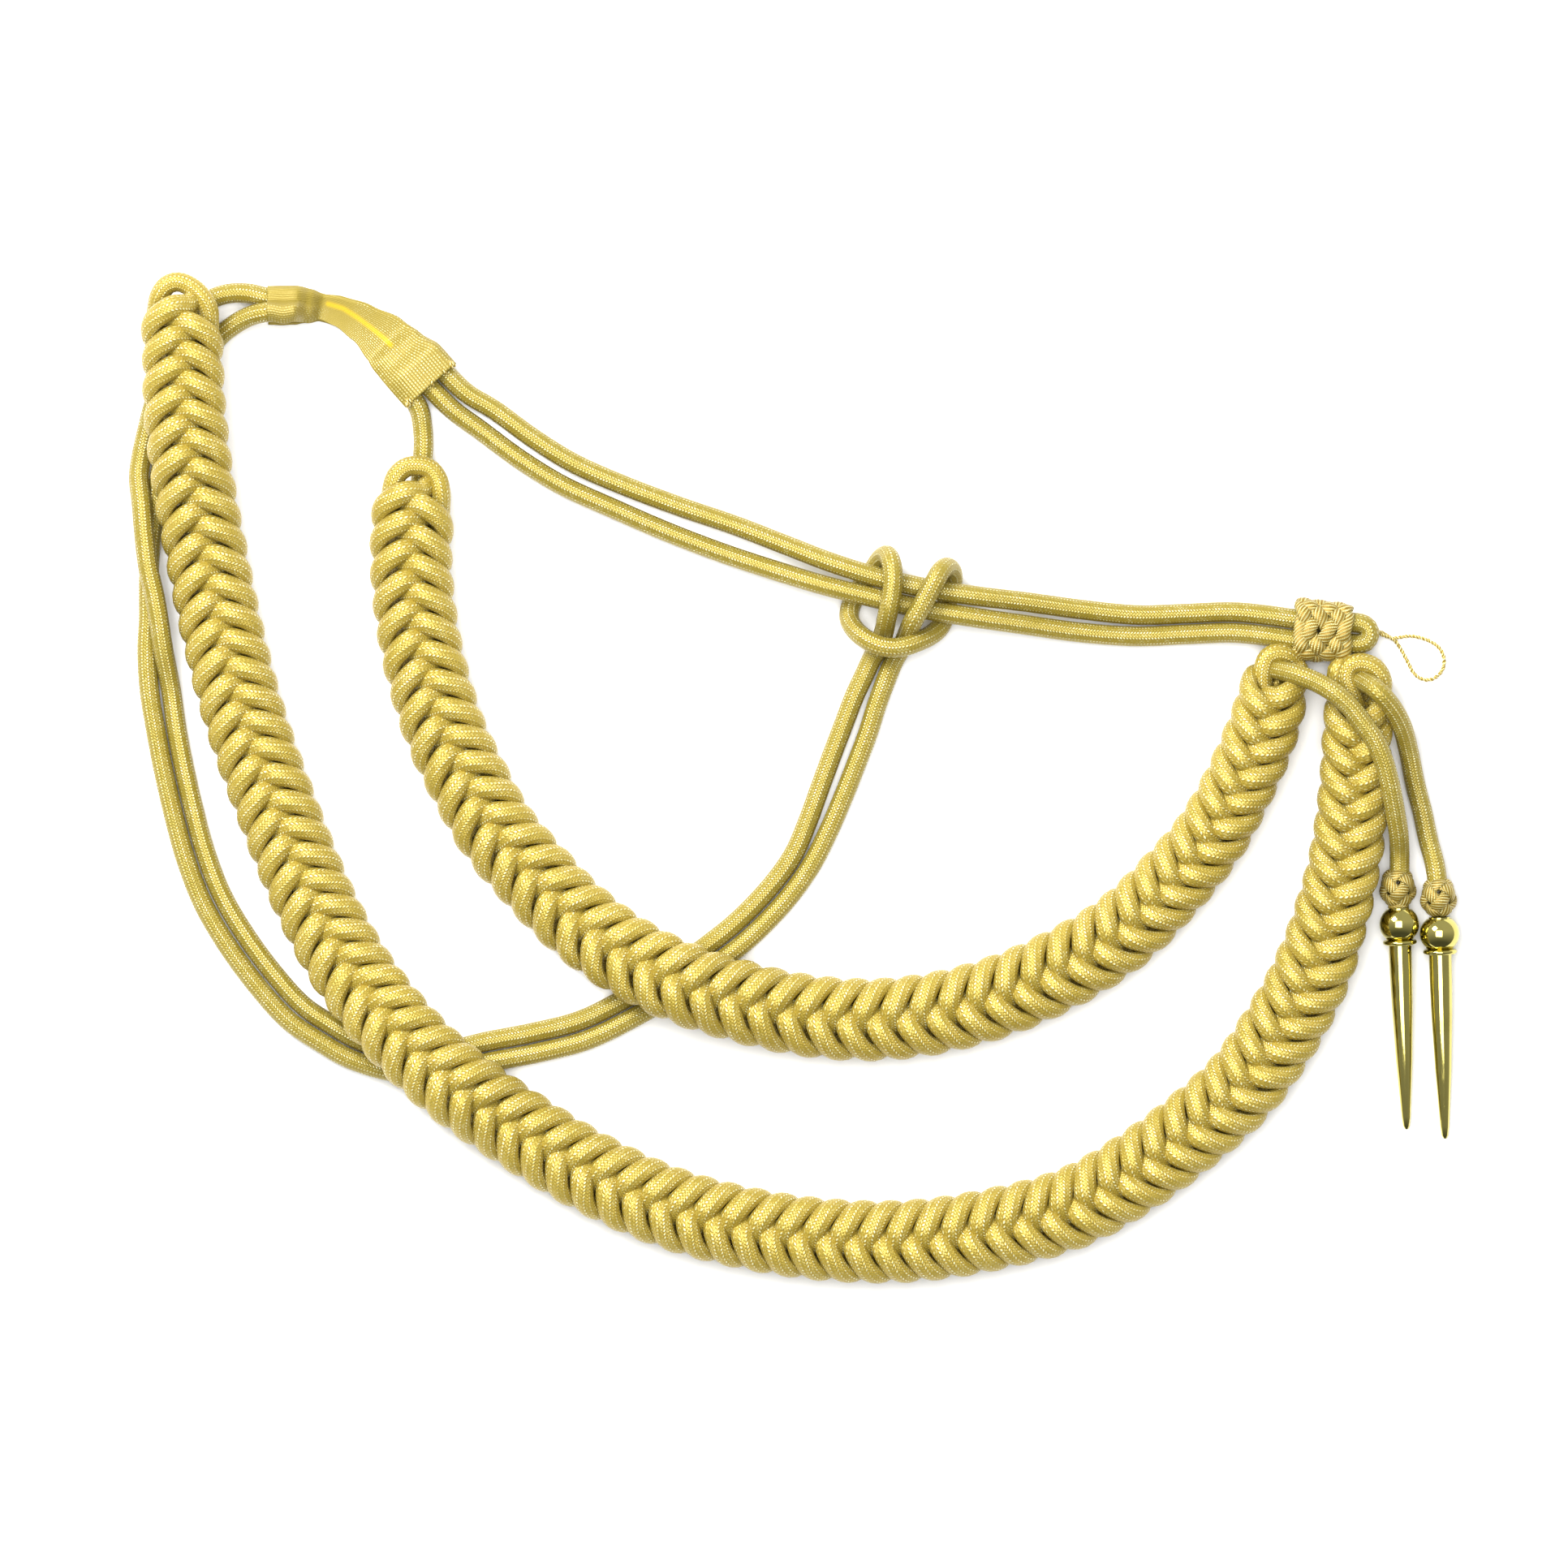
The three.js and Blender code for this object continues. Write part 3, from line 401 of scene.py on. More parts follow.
class NodeBench:
    def __init__(self, name):
        self.material = bpy.data.materials.new(name)
        self.material.use_nodes = True
        self.tree = self.material.node_tree
        self.shader = self.tree.nodes["Principled BSDF"]

    def new(self, kind, **settings):
        node = self.tree.nodes.new(kind)
        for key, value in settings.items():
            setattr(node, key, value)
        return node

    def link(self, source, target):
        self.tree.links.new(source, target)

    def fill(self, sockets, values):
        for socket, value in zip(sockets, values):
            if isinstance(value, (int, float)):
                socket.default_value = value
            elif isinstance(value, tuple):
                socket.default_value = (*value, 1)
            else:
                self.link(value, socket)

    def math(self, operation, *values, clamp=False):
        node = self.new("ShaderNodeMath", operation=operation, use_clamp=clamp)
        self.fill(node.inputs, values)
        return node.outputs[0]

    def times(self, first, second, clamp=False):
        return self.math("MULTIPLY", first, second, clamp=clamp)

    def scaled(self, value, gain, start, clamp=False):
        return self.math("MULTIPLY_ADD", value, gain, start, clamp=clamp)

    def wave(self, value):
        # one hump from 0 to 1 and back, as the value goes from 0 to 1
        return self.math("SINE", self.times(value, math.pi))

    def uv(self):
        source = self.new("ShaderNodeUVMap", uv_map="along")
        split = self.new("ShaderNodeSeparateXYZ")
        self.link(source.outputs[0], split.inputs[0])
        return split.outputs[0], split.outputs[1]

    def chance(self, x, y):
        corner = self.new("ShaderNodeCombineXYZ")
        self.fill(corner.inputs, (x, y))
        node = self.new("ShaderNodeTexWhiteNoise", noise_dimensions="3D")
        self.link(corner.outputs[0], node.inputs["Vector"])
        return node.outputs["Value"]

    def noise(self, scale, detail):
        node = self.new("ShaderNodeTexNoise")
        node.inputs["Scale"].default_value = scale
        node.inputs["Detail"].default_value = detail
        self.link(self.new("ShaderNodeTexCoord").outputs["Object"], node.inputs["Vector"])
        return node.outputs["Fac"]

    def ramp(self, value, stops):
        node = self.new("ShaderNodeValToRGB")
        ramp = node.color_ramp
        while len(ramp.elements) < len(stops):
            ramp.elements.new(0.5)
        for element, (position, colour) in zip(ramp.elements, stops):
            element.position = position
            element.color = (*colour, 1)
        self.link(value, node.inputs[0])
        return node.outputs[0]

    def mixed(self, share, first, second):
        node = self.new("ShaderNodeMix", data_type="RGBA")
        self.fill((node.inputs[0], node.inputs[6], node.inputs[7]), (share, first, second))
        return node.outputs[2]

    def bump(self, height, distance, strength=1.0):
        node = self.new("ShaderNodeBump")
        node.inputs["Distance"].default_value = distance
        node.inputs["Strength"].default_value = strength
        self.link(height, node.inputs["Height"])
        self.link(node.outputs[0], self.shader.inputs["Normal"])

    def finish(self, colour, roughness, metallic):
        self.link(colour, self.shader.inputs["Base Color"])
        self.link(roughness, self.shader.inputs["Roughness"])
        self.shader.inputs["Metallic"].default_value = metallic
        return self.material


braidLook = {
    "rows": 10,             # rows of bright stitches round the cord
    "stitches": 20.0,       # stitches for each length equal to the cord's girth
    "slant": 0.95,          # how far a stitch leans across its row, in stitches
    "crownWidth": 0.50,     # share of a row that the stitch crowns take, where the painted glint falls
    # painted shade: the darkest colour below is the shade in the gaps between stitches
    "gapShadeColour": (0.29, 0.138, 0.008),
    "threadColour": (0.36, 0.268, 0.034),
    # painted highlight: the pale colour lightens the crown of each stitch
    "crownHighlightColour": (0.425, 0.335, 0.062),
    # painted glint: this near-white colour is mixed in where the thread would catch the light
    "paintedGlintColour": (0.79, 0.82, 0.52),
    "paintedGlintShare": 0.95,
    "crownGlint": (3.6, -2.05),      # gain and start: how much of a stitch's crown gets the painted glint
    "luckGlint": (0.75, 0.35),       # and how unlike the stitches are
    "patchGlint": (3.0, -0.72),      # and how patchy they are over the cord
    "sideLuck": 0.72,                # above this a stitch at a row's side gets the painted glint too
    "sideGlint": 0.9,
    "patchNoise": (170.0, 3.0),
    "reliefPatches": (1.1, -0.15),
    "roughness": (0.20, 0.30),
    "metallic": 0.35,
    "bumpDepth": 0.20 * mm,
}
# the free cords lie flat to the light, so they get a darker copy of the braid's colours: painted shade
shadedFreeBraidLook = {
    **braidLook,
    "gapShadeColour": (0.27, 0.125, 0.006),
    "threadColour": (0.282, 0.216, 0.024),
    "crownHighlightColour": (0.340, 0.272, 0.046),
    "paintedGlintColour": (0.77, 0.80, 0.49),
}


def braidMaterial(name, look):
    bench = NodeBench(name)
    u, v = bench.uv()
    row = bench.times(u, look["rows"])
    whichRow = bench.math("FLOOR", row)
    inRow = bench.math("FRACT", row)
    odd = bench.math("MODULO", whichRow, 2)
    lean = bench.scaled(odd, -2 * look["slant"], look["slant"])
    # in the middle of a row the stitches lean one way, and at its sides the other way
    fromMiddle = bench.math("ABSOLUTE", bench.math("SUBTRACT", inRow, 0.5))
    isSide = bench.math("GREATER_THAN", fromMiddle, look["crownWidth"] / 2)
    turned = bench.times(lean, bench.scaled(isSide, -2.0, 1.0))
    stitch = bench.scaled(v, look["stitches"], bench.times(turned, inRow))
    stitch = bench.scaled(odd, 0.5, stitch)
    alongStitch = bench.wave(bench.math("FRACT", stitch))
    middleShare = bench.scaled(fromMiddle, -2.0 / look["crownWidth"], 1.0, clamp=True)
    sideShare = bench.scaled(fromMiddle, 2.0, -look["crownWidth"], clamp=True)
    luck = bench.chance(whichRow, bench.math("FLOOR", stitch))
    wander = bench.noise(*look["patchNoise"])
    crown = bench.times(bench.math("POWER", middleShare, 0.5), alongStitch)
    grooves = bench.times(isSide, bench.math("POWER", alongStitch, 0.5))
    relief = bench.math("ADD", crown, bench.times(grooves, 0.7))
    # the ramp paints shade into the gaps between stitches and a highlight onto their crowns, with the
    # thread's own colour between
    body = bench.ramp(relief, [(0.10, look["gapShadeColour"]), (0.42, look["threadColour"]),
                               (0.95, look["crownHighlightColour"])])
    # in patches the painted shade and highlight give way to the thread's plain colour
    body = bench.mixed(bench.scaled(wander, *look["reliefPatches"], clamp=True), look["threadColour"], body)
    # a painted glint on the crown of a stitch, some stitches more than others
    glint = bench.scaled(crown, *look["crownGlint"], clamp=True)
    glint = bench.times(glint, bench.scaled(luck, *look["luckGlint"]), clamp=True)
    side = bench.times(bench.math("GREATER_THAN", luck, look["sideLuck"]), sideShare)
    side = bench.times(side, bench.math("POWER", alongStitch, 3.0))
    glint = bench.math("ADD", glint, bench.times(side, look["sideGlint"]))
    patch = bench.scaled(wander, *look["patchGlint"], clamp=True)
    glint = bench.times(bench.times(glint, patch), look["paintedGlintShare"], clamp=True)
    bench.bump(relief, look["bumpDepth"])
    return bench.finish(bench.mixed(glint, body, look["paintedGlintColour"]),
                        bench.scaled(luck, *look["roughness"]), look["metallic"])


ropeLook = {
    "strands": 8,
    "fibres": 2.2,                   # waves across a strand, for each strand
    "valleyShadeColour": (0.22, 0.125, 0.011),
    "strandColour": (0.32, 0.243, 0.031),
    "crestHighlightColour": (0.64, 0.62, 0.35),
    "crestGlint": (1.35, -0.22),
    "fibreGlint": (0.4, 0.6),
    "patchGlint": (1.7, -0.15),
    "patchNoise": (420.0, 2.0),
    "roughness": (0.2, 0.30),
    "metallic": 0.45,
    "bumpDepth": 0.10 * mm,
}
threadLook = {
    **ropeLook,
    "strands": 2,
    "valleyShadeColour": (0.30, 0.19, 0.02),
    "strandColour": (0.50, 0.39, 0.09),
    "crestHighlightColour": (0.84, 0.82, 0.52),
    "bumpDepth": 0.05 * mm,
}


def ropeMaterial(name, look):
    # the strands lean at 45 degrees, so one turn round is one girth along
    bench = NodeBench(name)
    u, v = bench.uv()
    phase = bench.times(bench.math("SUBTRACT", u, v), look["strands"])
    crest = bench.scaled(bench.math("COSINE", bench.times(phase, 2 * math.pi)), 0.5, 0.5)
    along = bench.times(bench.math("ADD", u, v), look["fibres"] * look["strands"])
    ply = bench.scaled(bench.math("SINE", bench.times(along, 2 * math.pi)), 0.5, 0.5)
    wander = bench.noise(*look["patchNoise"])
    # painted shade: the ramp darkens the valleys between the strands
    body = bench.ramp(crest, [(0.10, look["valleyShadeColour"]), (0.60, look["strandColour"])])
    # painted highlight: a pale colour is mixed onto the crest of each strand
    glint = bench.scaled(bench.math("POWER", crest, 3.2), *look["crestGlint"], clamp=True)
    glint = bench.times(glint, bench.scaled(ply, *look["fibreGlint"]))
    glint = bench.times(glint, bench.scaled(wander, *look["patchGlint"], clamp=True), clamp=True)
    bench.bump(bench.times(crest, ply), look["bumpDepth"])
    return bench.finish(bench.mixed(glint, body, look["crestHighlightColour"]),
                        bench.scaled(wander, *look["roughness"]), look["metallic"])


laceLook = {
    "ribPitch": 0.95,                       # mm across the tape
    "stitchLength": 0.95,                   # mm along a rib
    "groundColour": (0.285, 0.216, 0.028),
    "grooveShadeColour": (0.215, 0.148, 0.012),
    "paintedGlintColour": (0.64, 0.61, 0.31),
    "stainColour": (0.52, 0.36, 0.003),
    "stainShare": 0.85,
    "knopGlint": (2.6, -0.80),
    "luckGlint": (0.9, 0.1),
    "patchNoise": (75.0, 3.0),
    "reliefPatches": (3.2, -1.05),
    "roughness": (0.15, 0.42),
    "metallic": 0.25,
    "bumpDepth": 0.10 * mm,
}


def laceMaterial(name, look):
    # the tape's map holds millimetres: u across the cut tape, v along it
    bench = NodeBench(name)
    u, v = bench.uv()
    rib = bench.math("DIVIDE", u, look["ribPitch"])
    whichRib = bench.math("FLOOR", rib)
    crown = bench.wave(bench.math("FRACT", rib))
    stitch = bench.math("ADD", bench.chance(whichRib, 7.0), bench.math("DIVIDE", v, look["stitchLength"]))
    knop = bench.times(crown, bench.wave(bench.math("FRACT", stitch)))
    weave = bench.scaled(knop, 0.35, bench.times(crown, 0.65))
    luck = bench.chance(whichRib, bench.math("FLOOR", stitch))
    # painted shade: the ramp darkens the grooves between the ribs
    body = bench.ramp(crown, [(0.10, look["grooveShadeColour"]), (0.75, look["groundColour"])])
    # marks: red is the stain, green the places worn smooth and plain, without painted glints or painted
    # groove shade
    marks = bench.new("ShaderNodeAttribute", attribute_name="marks")
    split = bench.new("ShaderNodeSeparateColor")
    bench.link(marks.outputs["Color"], split.inputs[0])
    # where the lace is worn plain, or in patches of the noise, the painted groove shade and glint are left
    # out
    rough = bench.scaled(bench.noise(*look["patchNoise"]), *look["reliefPatches"], clamp=True)
    rough = bench.math("SUBTRACT", rough, split.outputs[1], clamp=True)
    body = bench.mixed(bench.scaled(rough, -0.75, 0.75, clamp=True), body, look["groundColour"])
    # painted glint: a pale colour is mixed onto the knops of the ribs
    glint = bench.scaled(bench.math("POWER", knop, 2.5), *look["knopGlint"])
    glint = bench.times(glint, bench.scaled(luck, *look["luckGlint"]), clamp=True)
    glint = bench.times(glint, rough, clamp=True)
    colour = bench.mixed(glint, body, look["paintedGlintColour"])
    colour = bench.mixed(bench.times(split.outputs[0], look["stainShare"]), colour, look["stainColour"])
    bench.bump(weave, look["bumpDepth"])
    return bench.finish(colour, bench.scaled(luck, *look["roughness"]), look["metallic"])


metalLook = {
    "colour": (0.49, 0.43, 0.125),
    "dullColour": (0.31, 0.255, 0.06),
    "tarnishNoise": (90.0, 4.0),
    "tarnish": (2.2, -1.15),
    "grainNoise": (900.0, 2.0),
    "grain": 0.3,
    "roughness": (0.20, 0.07),
    "bumpDepth": 0.01 * mm,
}


def metalMaterial(name, look):
    bench = NodeBench(name)
    tarnish = bench.scaled(bench.noise(*look["tarnishNoise"]), *look["tarnish"], clamp=True)
    bench.bump(bench.noise(*look["grainNoise"]), look["bumpDepth"], look["grain"])
    return bench.finish(bench.mixed(tarnish, look["colour"], look["dullColour"]),
                        bench.scaled(tarnish, *look["roughness"]), 1.0)


goldBraid = braidMaterial("goldBraid", braidLook)
goldFreeBraidShaded = braidMaterial("goldFreeBraidShaded", shadedFreeBraidLook)
goldRope = ropeMaterial("goldRope", ropeLook)
goldThread = ropeMaterial("goldThread", threadLook)
goldLace = laceMaterial("goldLace", laceLook)
needleBrass = metalMaterial("needleBrass", metalLook)
print("materials ready")

# the plait: two cords, each looping through the other

plait = {
    "pitch": 9.0,
    "nodesPerLoop": 40,
    "sides": 14,
    "flatten": 0.88,
    "widen": 1.16,
    "clear": 5.6,               # how close two middles may come
    "nearTurns": (-3, -2, -1, 0, 1, 2, 3),
    "ownReach": 1.8,            # nearer along its own length, in clears, a cord doesn't push itself
    "push": 0.0625,
    "bend": 0.3,
    "holdShape": 0.03,
    "settleSteps": 400,
    "tip": 0.9,                 # where on a turn its tip lies, in turns
    "loopMiddle": 4.0,          # how far out the middle of a turn lies
    "heightShare": 0.92,        # the plait's own weight presses its turns a little flatter
    "lift": 0.35,
    "lineStep": 0.5,
    "beyond": 30.0,             # how far the middle line is carried past the plait's ends
}
# one turn as drawn: forward, outward, up
drawnLoop = np.array([
    (4.0, -3.9, -3.2), (4.1, -4.1, -1.0), (4.5, -3.7, 1.4), (5.4, -2.0, 3.8), (6.8, 0.8, 5.6),
    (7.8, 3.6, 6.4), (8.6, 6.2, 6.2), (10.2, 8.7, 5.0), (12.1, 10.2, 3.2), (14.2, 10.7, 0.9),
    (16.0, 10.0, -1.8), (16.7, 7.8, -4.4), (16.2, 4.8, -5.8), (15.1, 1.8, -6.2), (14.0, -1.2, -5.6),
])
# left and right tips: turn number and its place along the route
# ring and loop: x, y, level
plaits = {
    "outer_plait": {
        "route": outerPlaitRoute,
        "leftTips": [(0, 3.9), (4, 41), (9, 88.1), (37, 341), (57, 520.5), (71, 647.5), (73, 666)],
        "rightTips": [(0, -1.5), (1, 8), (10, 92.7), (38, 345.6), (58, 525), (72, 651.7), (74, 670)],
        "loops": [
            [(-50.5, -6, 1.1), (-49.4, -3, 1.3), (-49.3, 0, 1.6), (-49.4, 3.5, 1.85),
             (-51, 7, 2), (-54.4, 10.5, 2), (-59, 12.5, 1.95), (-62.7, 11.4, 1.85),
             (-65, 8.3, 1.7), (-65.9, 5, 1.45), (-66.2, 1, 1.15), (-65, -2, 0.95)],
            [(317.5, -124, 0.5), (315.6, -118, 0.85), (313.9, -113.4, 1), (315.2, -110.1, 1.05),
             (318.6, -109, 1.05), (322.8, -110.5, 1), (325.2, -114, 0.85), (325.4, -118, 0.6),
             (323.5, -123, 0.3)],
            [(313.5, -121, 0.3), (311.4, -115, 0.6), (310.9, -111.6, 0.75), (312.8, -109.6, 0.6),
             (316, -109.5, 0.15), (318, -112, 0.1)],
        ],
    },
    "inner_plait": {
        "route": innerPlaitRoute,
        "leftTips": [(0, 6.4), (1, 16.3), (36, 347.5), (44, 419), (45, 428)],
        "rightTips": [(0, 2.8), (1, 11.8), (37, 352.2), (45, 423.5), (46, 432.4)],
        "loops": [
            [(23, -67, 0.1), (24, -62.5, 0.35), (24.4, -58.5, 0.7), (24.5, -54.5, 1), (23.5, -50, 1.05),
             (21, -47, 1.05), (17, -46, 1.05), (13.5, -46.5, 1.05), (10.5, -49, 1.05), (9, -53, 1),
             (8.5, -57.5, 0.7), (8.4, -61.5, 0.35), (9, -65.5, 0.1)],
            [(289, -121, 0.3), (287.4, -115.5, 0.8), (287.4, -110.6, 1), (288.9, -107.2, 1),
             (291.9, -105.9, 0.95), (295, -106.6, 0.8), (297.2, -109, 0.5), (299, -112.5, 0.3),
             (299, -117, 0.2)],
        ],
    },
}


def neighboursOf(loop, turn):
    # the same cord's turns, and the other cord's, mirrored and half a turn on
    shift = np.array((plait["pitch"], 0, 0))
    return ((loop + shift * turn, True), (loop * (1, -1, 1) + shift * (turn + 0.5), False))


def settledLoop():
    # the drawn turn is let settle against its neighbours, as cords pulled tight do
    shift = np.array((plait["pitch"], 0, 0))
    corners = np.vstack((drawnLoop, drawnLoop[0] + shift))
    count = plait["nodesPerLoop"]
    drawn = resampled(corners, count + 1)[:-1]
    loop = drawn.copy()
    number = np.arange(count)
    for _ in range(plait["settleSteps"]):
        before = np.vstack((loop[-1:] - shift, loop[:-1]))
        after = np.vstack((loop[1:], loop[:1] + shift))
        spacing = np.linalg.norm(after - loop, axis=1).mean()
        push = np.zeros_like(loop)
        for turn in plait["nearTurns"]:
            for copy, isOwn in neighboursOf(loop, turn):
                apart = loop[:, None, :] - copy[None, :, :]
                distance = np.linalg.norm(apart, axis=2)
                touching = distance < plait["clear"]
                if isOwn:
                    along = np.abs(number[:, None] - (number[None, :] + count * turn)) * spacing
                    touching &= along > plait["ownReach"] * plait["clear"]
                strength = touching * (plait["clear"] - distance) / np.maximum(distance, 0.001)
                push += (apart * strength[..., None]).sum(1)
        pull = (before + after) / 2 - loop
        bend = pull - (np.vstack((pull[-1:], pull[:-1])) + np.vstack((pull[1:], pull[:1]))) / 2
        loop = loop + plait["push"] * push + plait["bend"] * bend + plait["holdShape"] * (drawn - loop)
    return loop


def ramped(values, start, over):
    return np.clip((values - start) / over, 0, 1)


def eased(values, start, over):
    share = ramped(values, start, over)
    return share * share * (3 - 2 * share)


def easedAt(places, own, values):
    index = np.clip(np.searchsorted(own, places, side="right") - 1, 0, len(own) - 2)
    share = eased(places, own[index], own[index + 1] - own[index])
    return values[index] + (values[index + 1] - values[index]) * share


class PlaitLine:
    # the plait's middle line, carried straight on past both its ends
    def __init__(self, route):
        beyond = plait["beyond"]
        points = np.array([(x, y, 0.0) for x, y, level, width in route])
        line = throughPoints(points, plait["lineStep"])
        travelled = lengthsAlong(line)
        self.own = placesOf(points, line)
        self.levels = np.array([row[2] for row in route], float)
        self.widths = np.array([row[3] for row in route], float)
        first, last = unit(line[1] - line[0]), unit(line[-1] - line[-2])
        self.line = np.vstack((line[:1] - first * beyond, line, line[-1:] + last * beyond))
        self.travelled = np.concatenate(([-beyond], travelled, [travelled[-1] + beyond]))
        ways = unit(np.gradient(line, axis=0))
        ways = np.vstack((ways[:1], ways, ways[-1:]))
        self.lefts = leftOfWays(ways)


def layPlaitCord(bundle, line, loop, tips, side):
    turns = tips[-1][0] + 1
    flow = (tips[-1][1] - tips[0][1]) / (tips[-1][0] - tips[0][0])
    numbers = [tips[0][0] - 2] + [number for number, place in tips] + [tips[-1][0] + 3]
    places = [tips[0][1] - 2 * flow] + [place for number, place in tips] + [tips[-1][1] + 3 * flow]
    path = np.vstack([loop + (plait["pitch"] * turn, 0, 0) for turn in range(turns)])
    forward = np.interp(path[:, 0] / plait["pitch"] - plait["tip"], numbers, places)
    width = easedAt(forward, line.own, line.widths)
    height = easedAt(forward, line.own, line.levels) * cordStep + plaitHalfHeight + plait["lift"]
    base = read(forward, line.travelled, line.line)
    left = unit(read(forward, line.travelled, line.lefts))
    laid = base + left * (path[:, 1] * width * side)[:, None]
    laid[:, 2] = height + path[:, 2] * plait["heightShare"]
    # the cord's flat side faces away from the middle of its turn
    middle = base + left * (plait["loopMiddle"] * width * side)[:, None]
    middle[:, 2] = height
    bundle.addTube(laid, cord["diameter"] / 2, plait["sides"], normals=unit(laid - middle),
                   flatten=plait["flatten"], widen=plait["widen"])


def buildPlaits():
    loop = settledLoop()
    print("plait turn settled, spans", np.ptp(loop, axis=0).round(1))
    for name, facts in plaits.items():
        bundle = Bundle()
        line = PlaitLine(facts["route"])
        layPlaitCord(bundle, line, loop, facts["leftTips"], 1)
        layPlaitCord(bundle, line, loop, facts["rightTips"], -1)
        for points in facts["loops"]:
            bundle.addTube(throughPoints(levelled(points), cord["ringStep"]), cord["diameter"] / 2,
                           cord["sides"])
        piece = bundle.makePiece(name + "_cords", goldBraid)
        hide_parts(name)
        print(name, "laid with", len(piece.data.polygons), "faces")


buildPlaits()

# woven knots: one closed rope that goes round several times, over and under itself

slideKnotFacts = {
    "centre": (306.5, -98.8, 6.4),
    "wayAlong": (18.5, -1.2),         # the front cord's direction at the knot
    "leads": 7,
    "bights": 6,
    "halfLength": 7.25,
    "halfWidth": 8.4,
    "halfHeight": 4.6,
    "squareness": 2.5,
    "rise": 0.72,
    "weave": (0, 1, -1, 1, -1, 1, -1),
    "ropeDiameter": 3.0,
    "flatten": 0.62,
    "widen": 1.46,
    "taper": 0.05,
    "steps": 900,
}
needleKnotFacts = {
    "leads": 5,
    "bights": 4,
    "radius": 4.7,
    "halfHeight": 5.5,
    "reach": 1.12,                    # how near the poles the rope comes, in radians
    "rise": 0.6,
    "weave": (0, 1, -1, 1, -1),
    "ropeDiameter": 2.5,
    "flatten": 0.66,
    "widen": 1.55,
    "steps": 480,
    "centreHeight": 5.9,
    "neckStart": 5.0,
    "neckLength": 1.3,
    "neckTurns": 2,
    "neckDiameter": 5.3,
    "neckRope": 1.5,
    "neckRopeShape": {"sides": 12, "lobes": 3, "lobeDepth": 0.12},
}
knotRope = {"sides": 32, "lobes": ropeLook["strands"], "lobeDepth": 0.07}


def wovenWay(facts):
    turns = np.linspace(0, 2 * math.pi, facts["steps"], endpoint=False)
    around = facts["leads"] * turns
    along = np.cos(facts["bights"] * turns)
    crossings = facts["leads"] * facts["bights"] * turns / math.pi
    pattern = np.array(facts["weave"] + facts["weave"][:1], float)
    rise = easedAt(crossings % len(facts["weave"]), np.arange(len(pattern)), pattern) * facts["rise"]
    return around, along, rise


def addKnotRope(bundle, path, normals, facts):
    bundle.addTube(path, facts["ropeDiameter"] / 2, normals=normals, flatten=facts["flatten"],
                   widen=facts["widen"], closed=True, **knotRope)


def addSlideKnot(bundle):
    facts = slideKnotFacts
    around, along, rise = wovenWay(facts)
    power = 2 / facts["squareness"]
    ovalX = np.sign(np.cos(around)) * np.abs(np.cos(around)) ** power
    ovalZ = np.sign(np.sin(around)) * np.abs(np.sin(around)) ** power
    outward = unit(np.stack((ovalX / facts["halfWidth"], ovalZ / facts["halfHeight"]), 1))
    wide = ovalX * facts["halfWidth"] * (1 - facts["taper"] * along) + outward[:, 0] * rise
    high = ovalZ * facts["halfHeight"] + outward[:, 1] * rise
    way = unit(np.array((*facts["wayAlong"], 0.0)))
    left = np.array((-way[1], way[0], 0.0))
    path = (np.array(facts["centre"]) + np.outer(along * facts["halfLength"], way)
            + np.outer(wide, left) + np.outer(high, up))
    normals = np.outer(outward[:, 0], left) + np.outer(outward[:, 1], up)
    addKnotRope(bundle, path, normals, facts)


def addNeedleKnot(bundle, centre, way, hasNeck):
    facts = needleKnotFacts
    around, along, rise = wovenWay(facts)
    slope = along * facts["reach"]
    left = np.array((-way[1], way[0], 0.0))
    size = facts["radius"] + rise
    ring = np.outer(np.cos(around), left) + np.outer(np.sin(around), up)
    path = (centre + np.outer(np.sin(slope) * (facts["halfHeight"] + rise), way)
            + ring * (np.cos(slope) * size)[:, None])
    normals = unit(np.outer(np.sin(slope), way) + ring * np.cos(slope)[:, None])
    addKnotRope(bundle, path, normals, facts)
    if hasNeck:
        whole = 2 * math.pi * facts["neckTurns"]
        turns = np.linspace(0, whole, 90)
        place = facts["neckStart"] + facts["neckLength"] * turns / whole
        coil = (centre + np.outer(place, way)
                + (np.outer(np.cos(turns), left) + np.outer(np.sin(turns), up)) * facts["neckDiameter"] / 2)
        bundle.addTube(coil, facts["neckRope"] / 2, **facts["neckRopeShape"])


# needles: turned and polished, each lying on its ball and its tip

needleShape = {
    "ballDiameter": 12.8,
    "ballHeight": 9.8,
    "flangeDiameter": 6.8,
    "flangeThickness": 0.5,
    "collarDiameter": 11.0,
    "collarThickness": 1.6,
    "shankLength": 59.5,
    "shankDiameter": 7.4,
    "tipDiameter": 1.9,
    "knotGap": 0.6,
    "knotHeight": 11.4,
    "ballCut": 0.62,                            # the ball's width at its cut poles
    "ballSteps": 12,
    "rimSteps": 6,
    "taper": ((0.0, 1.0), (0.15, 0.985), (0.33, 0.90), (0.63, 0.63), (0.93, 0.20), (0.98, 0.06)),
    "point": (0.998, 0.55),                     # share of the length, share of the tip's width
    "segments": 64,
    "sharpAngle": 38,
}
needlePlaces = {
    "left": {"ball": (331, -192.6), "tip": (333.6, -258.9), "hasNeck": True},
    "right": {"ball": (343.9, -195.6), "tip": (345.9, -261.5), "hasNeck": False},
}


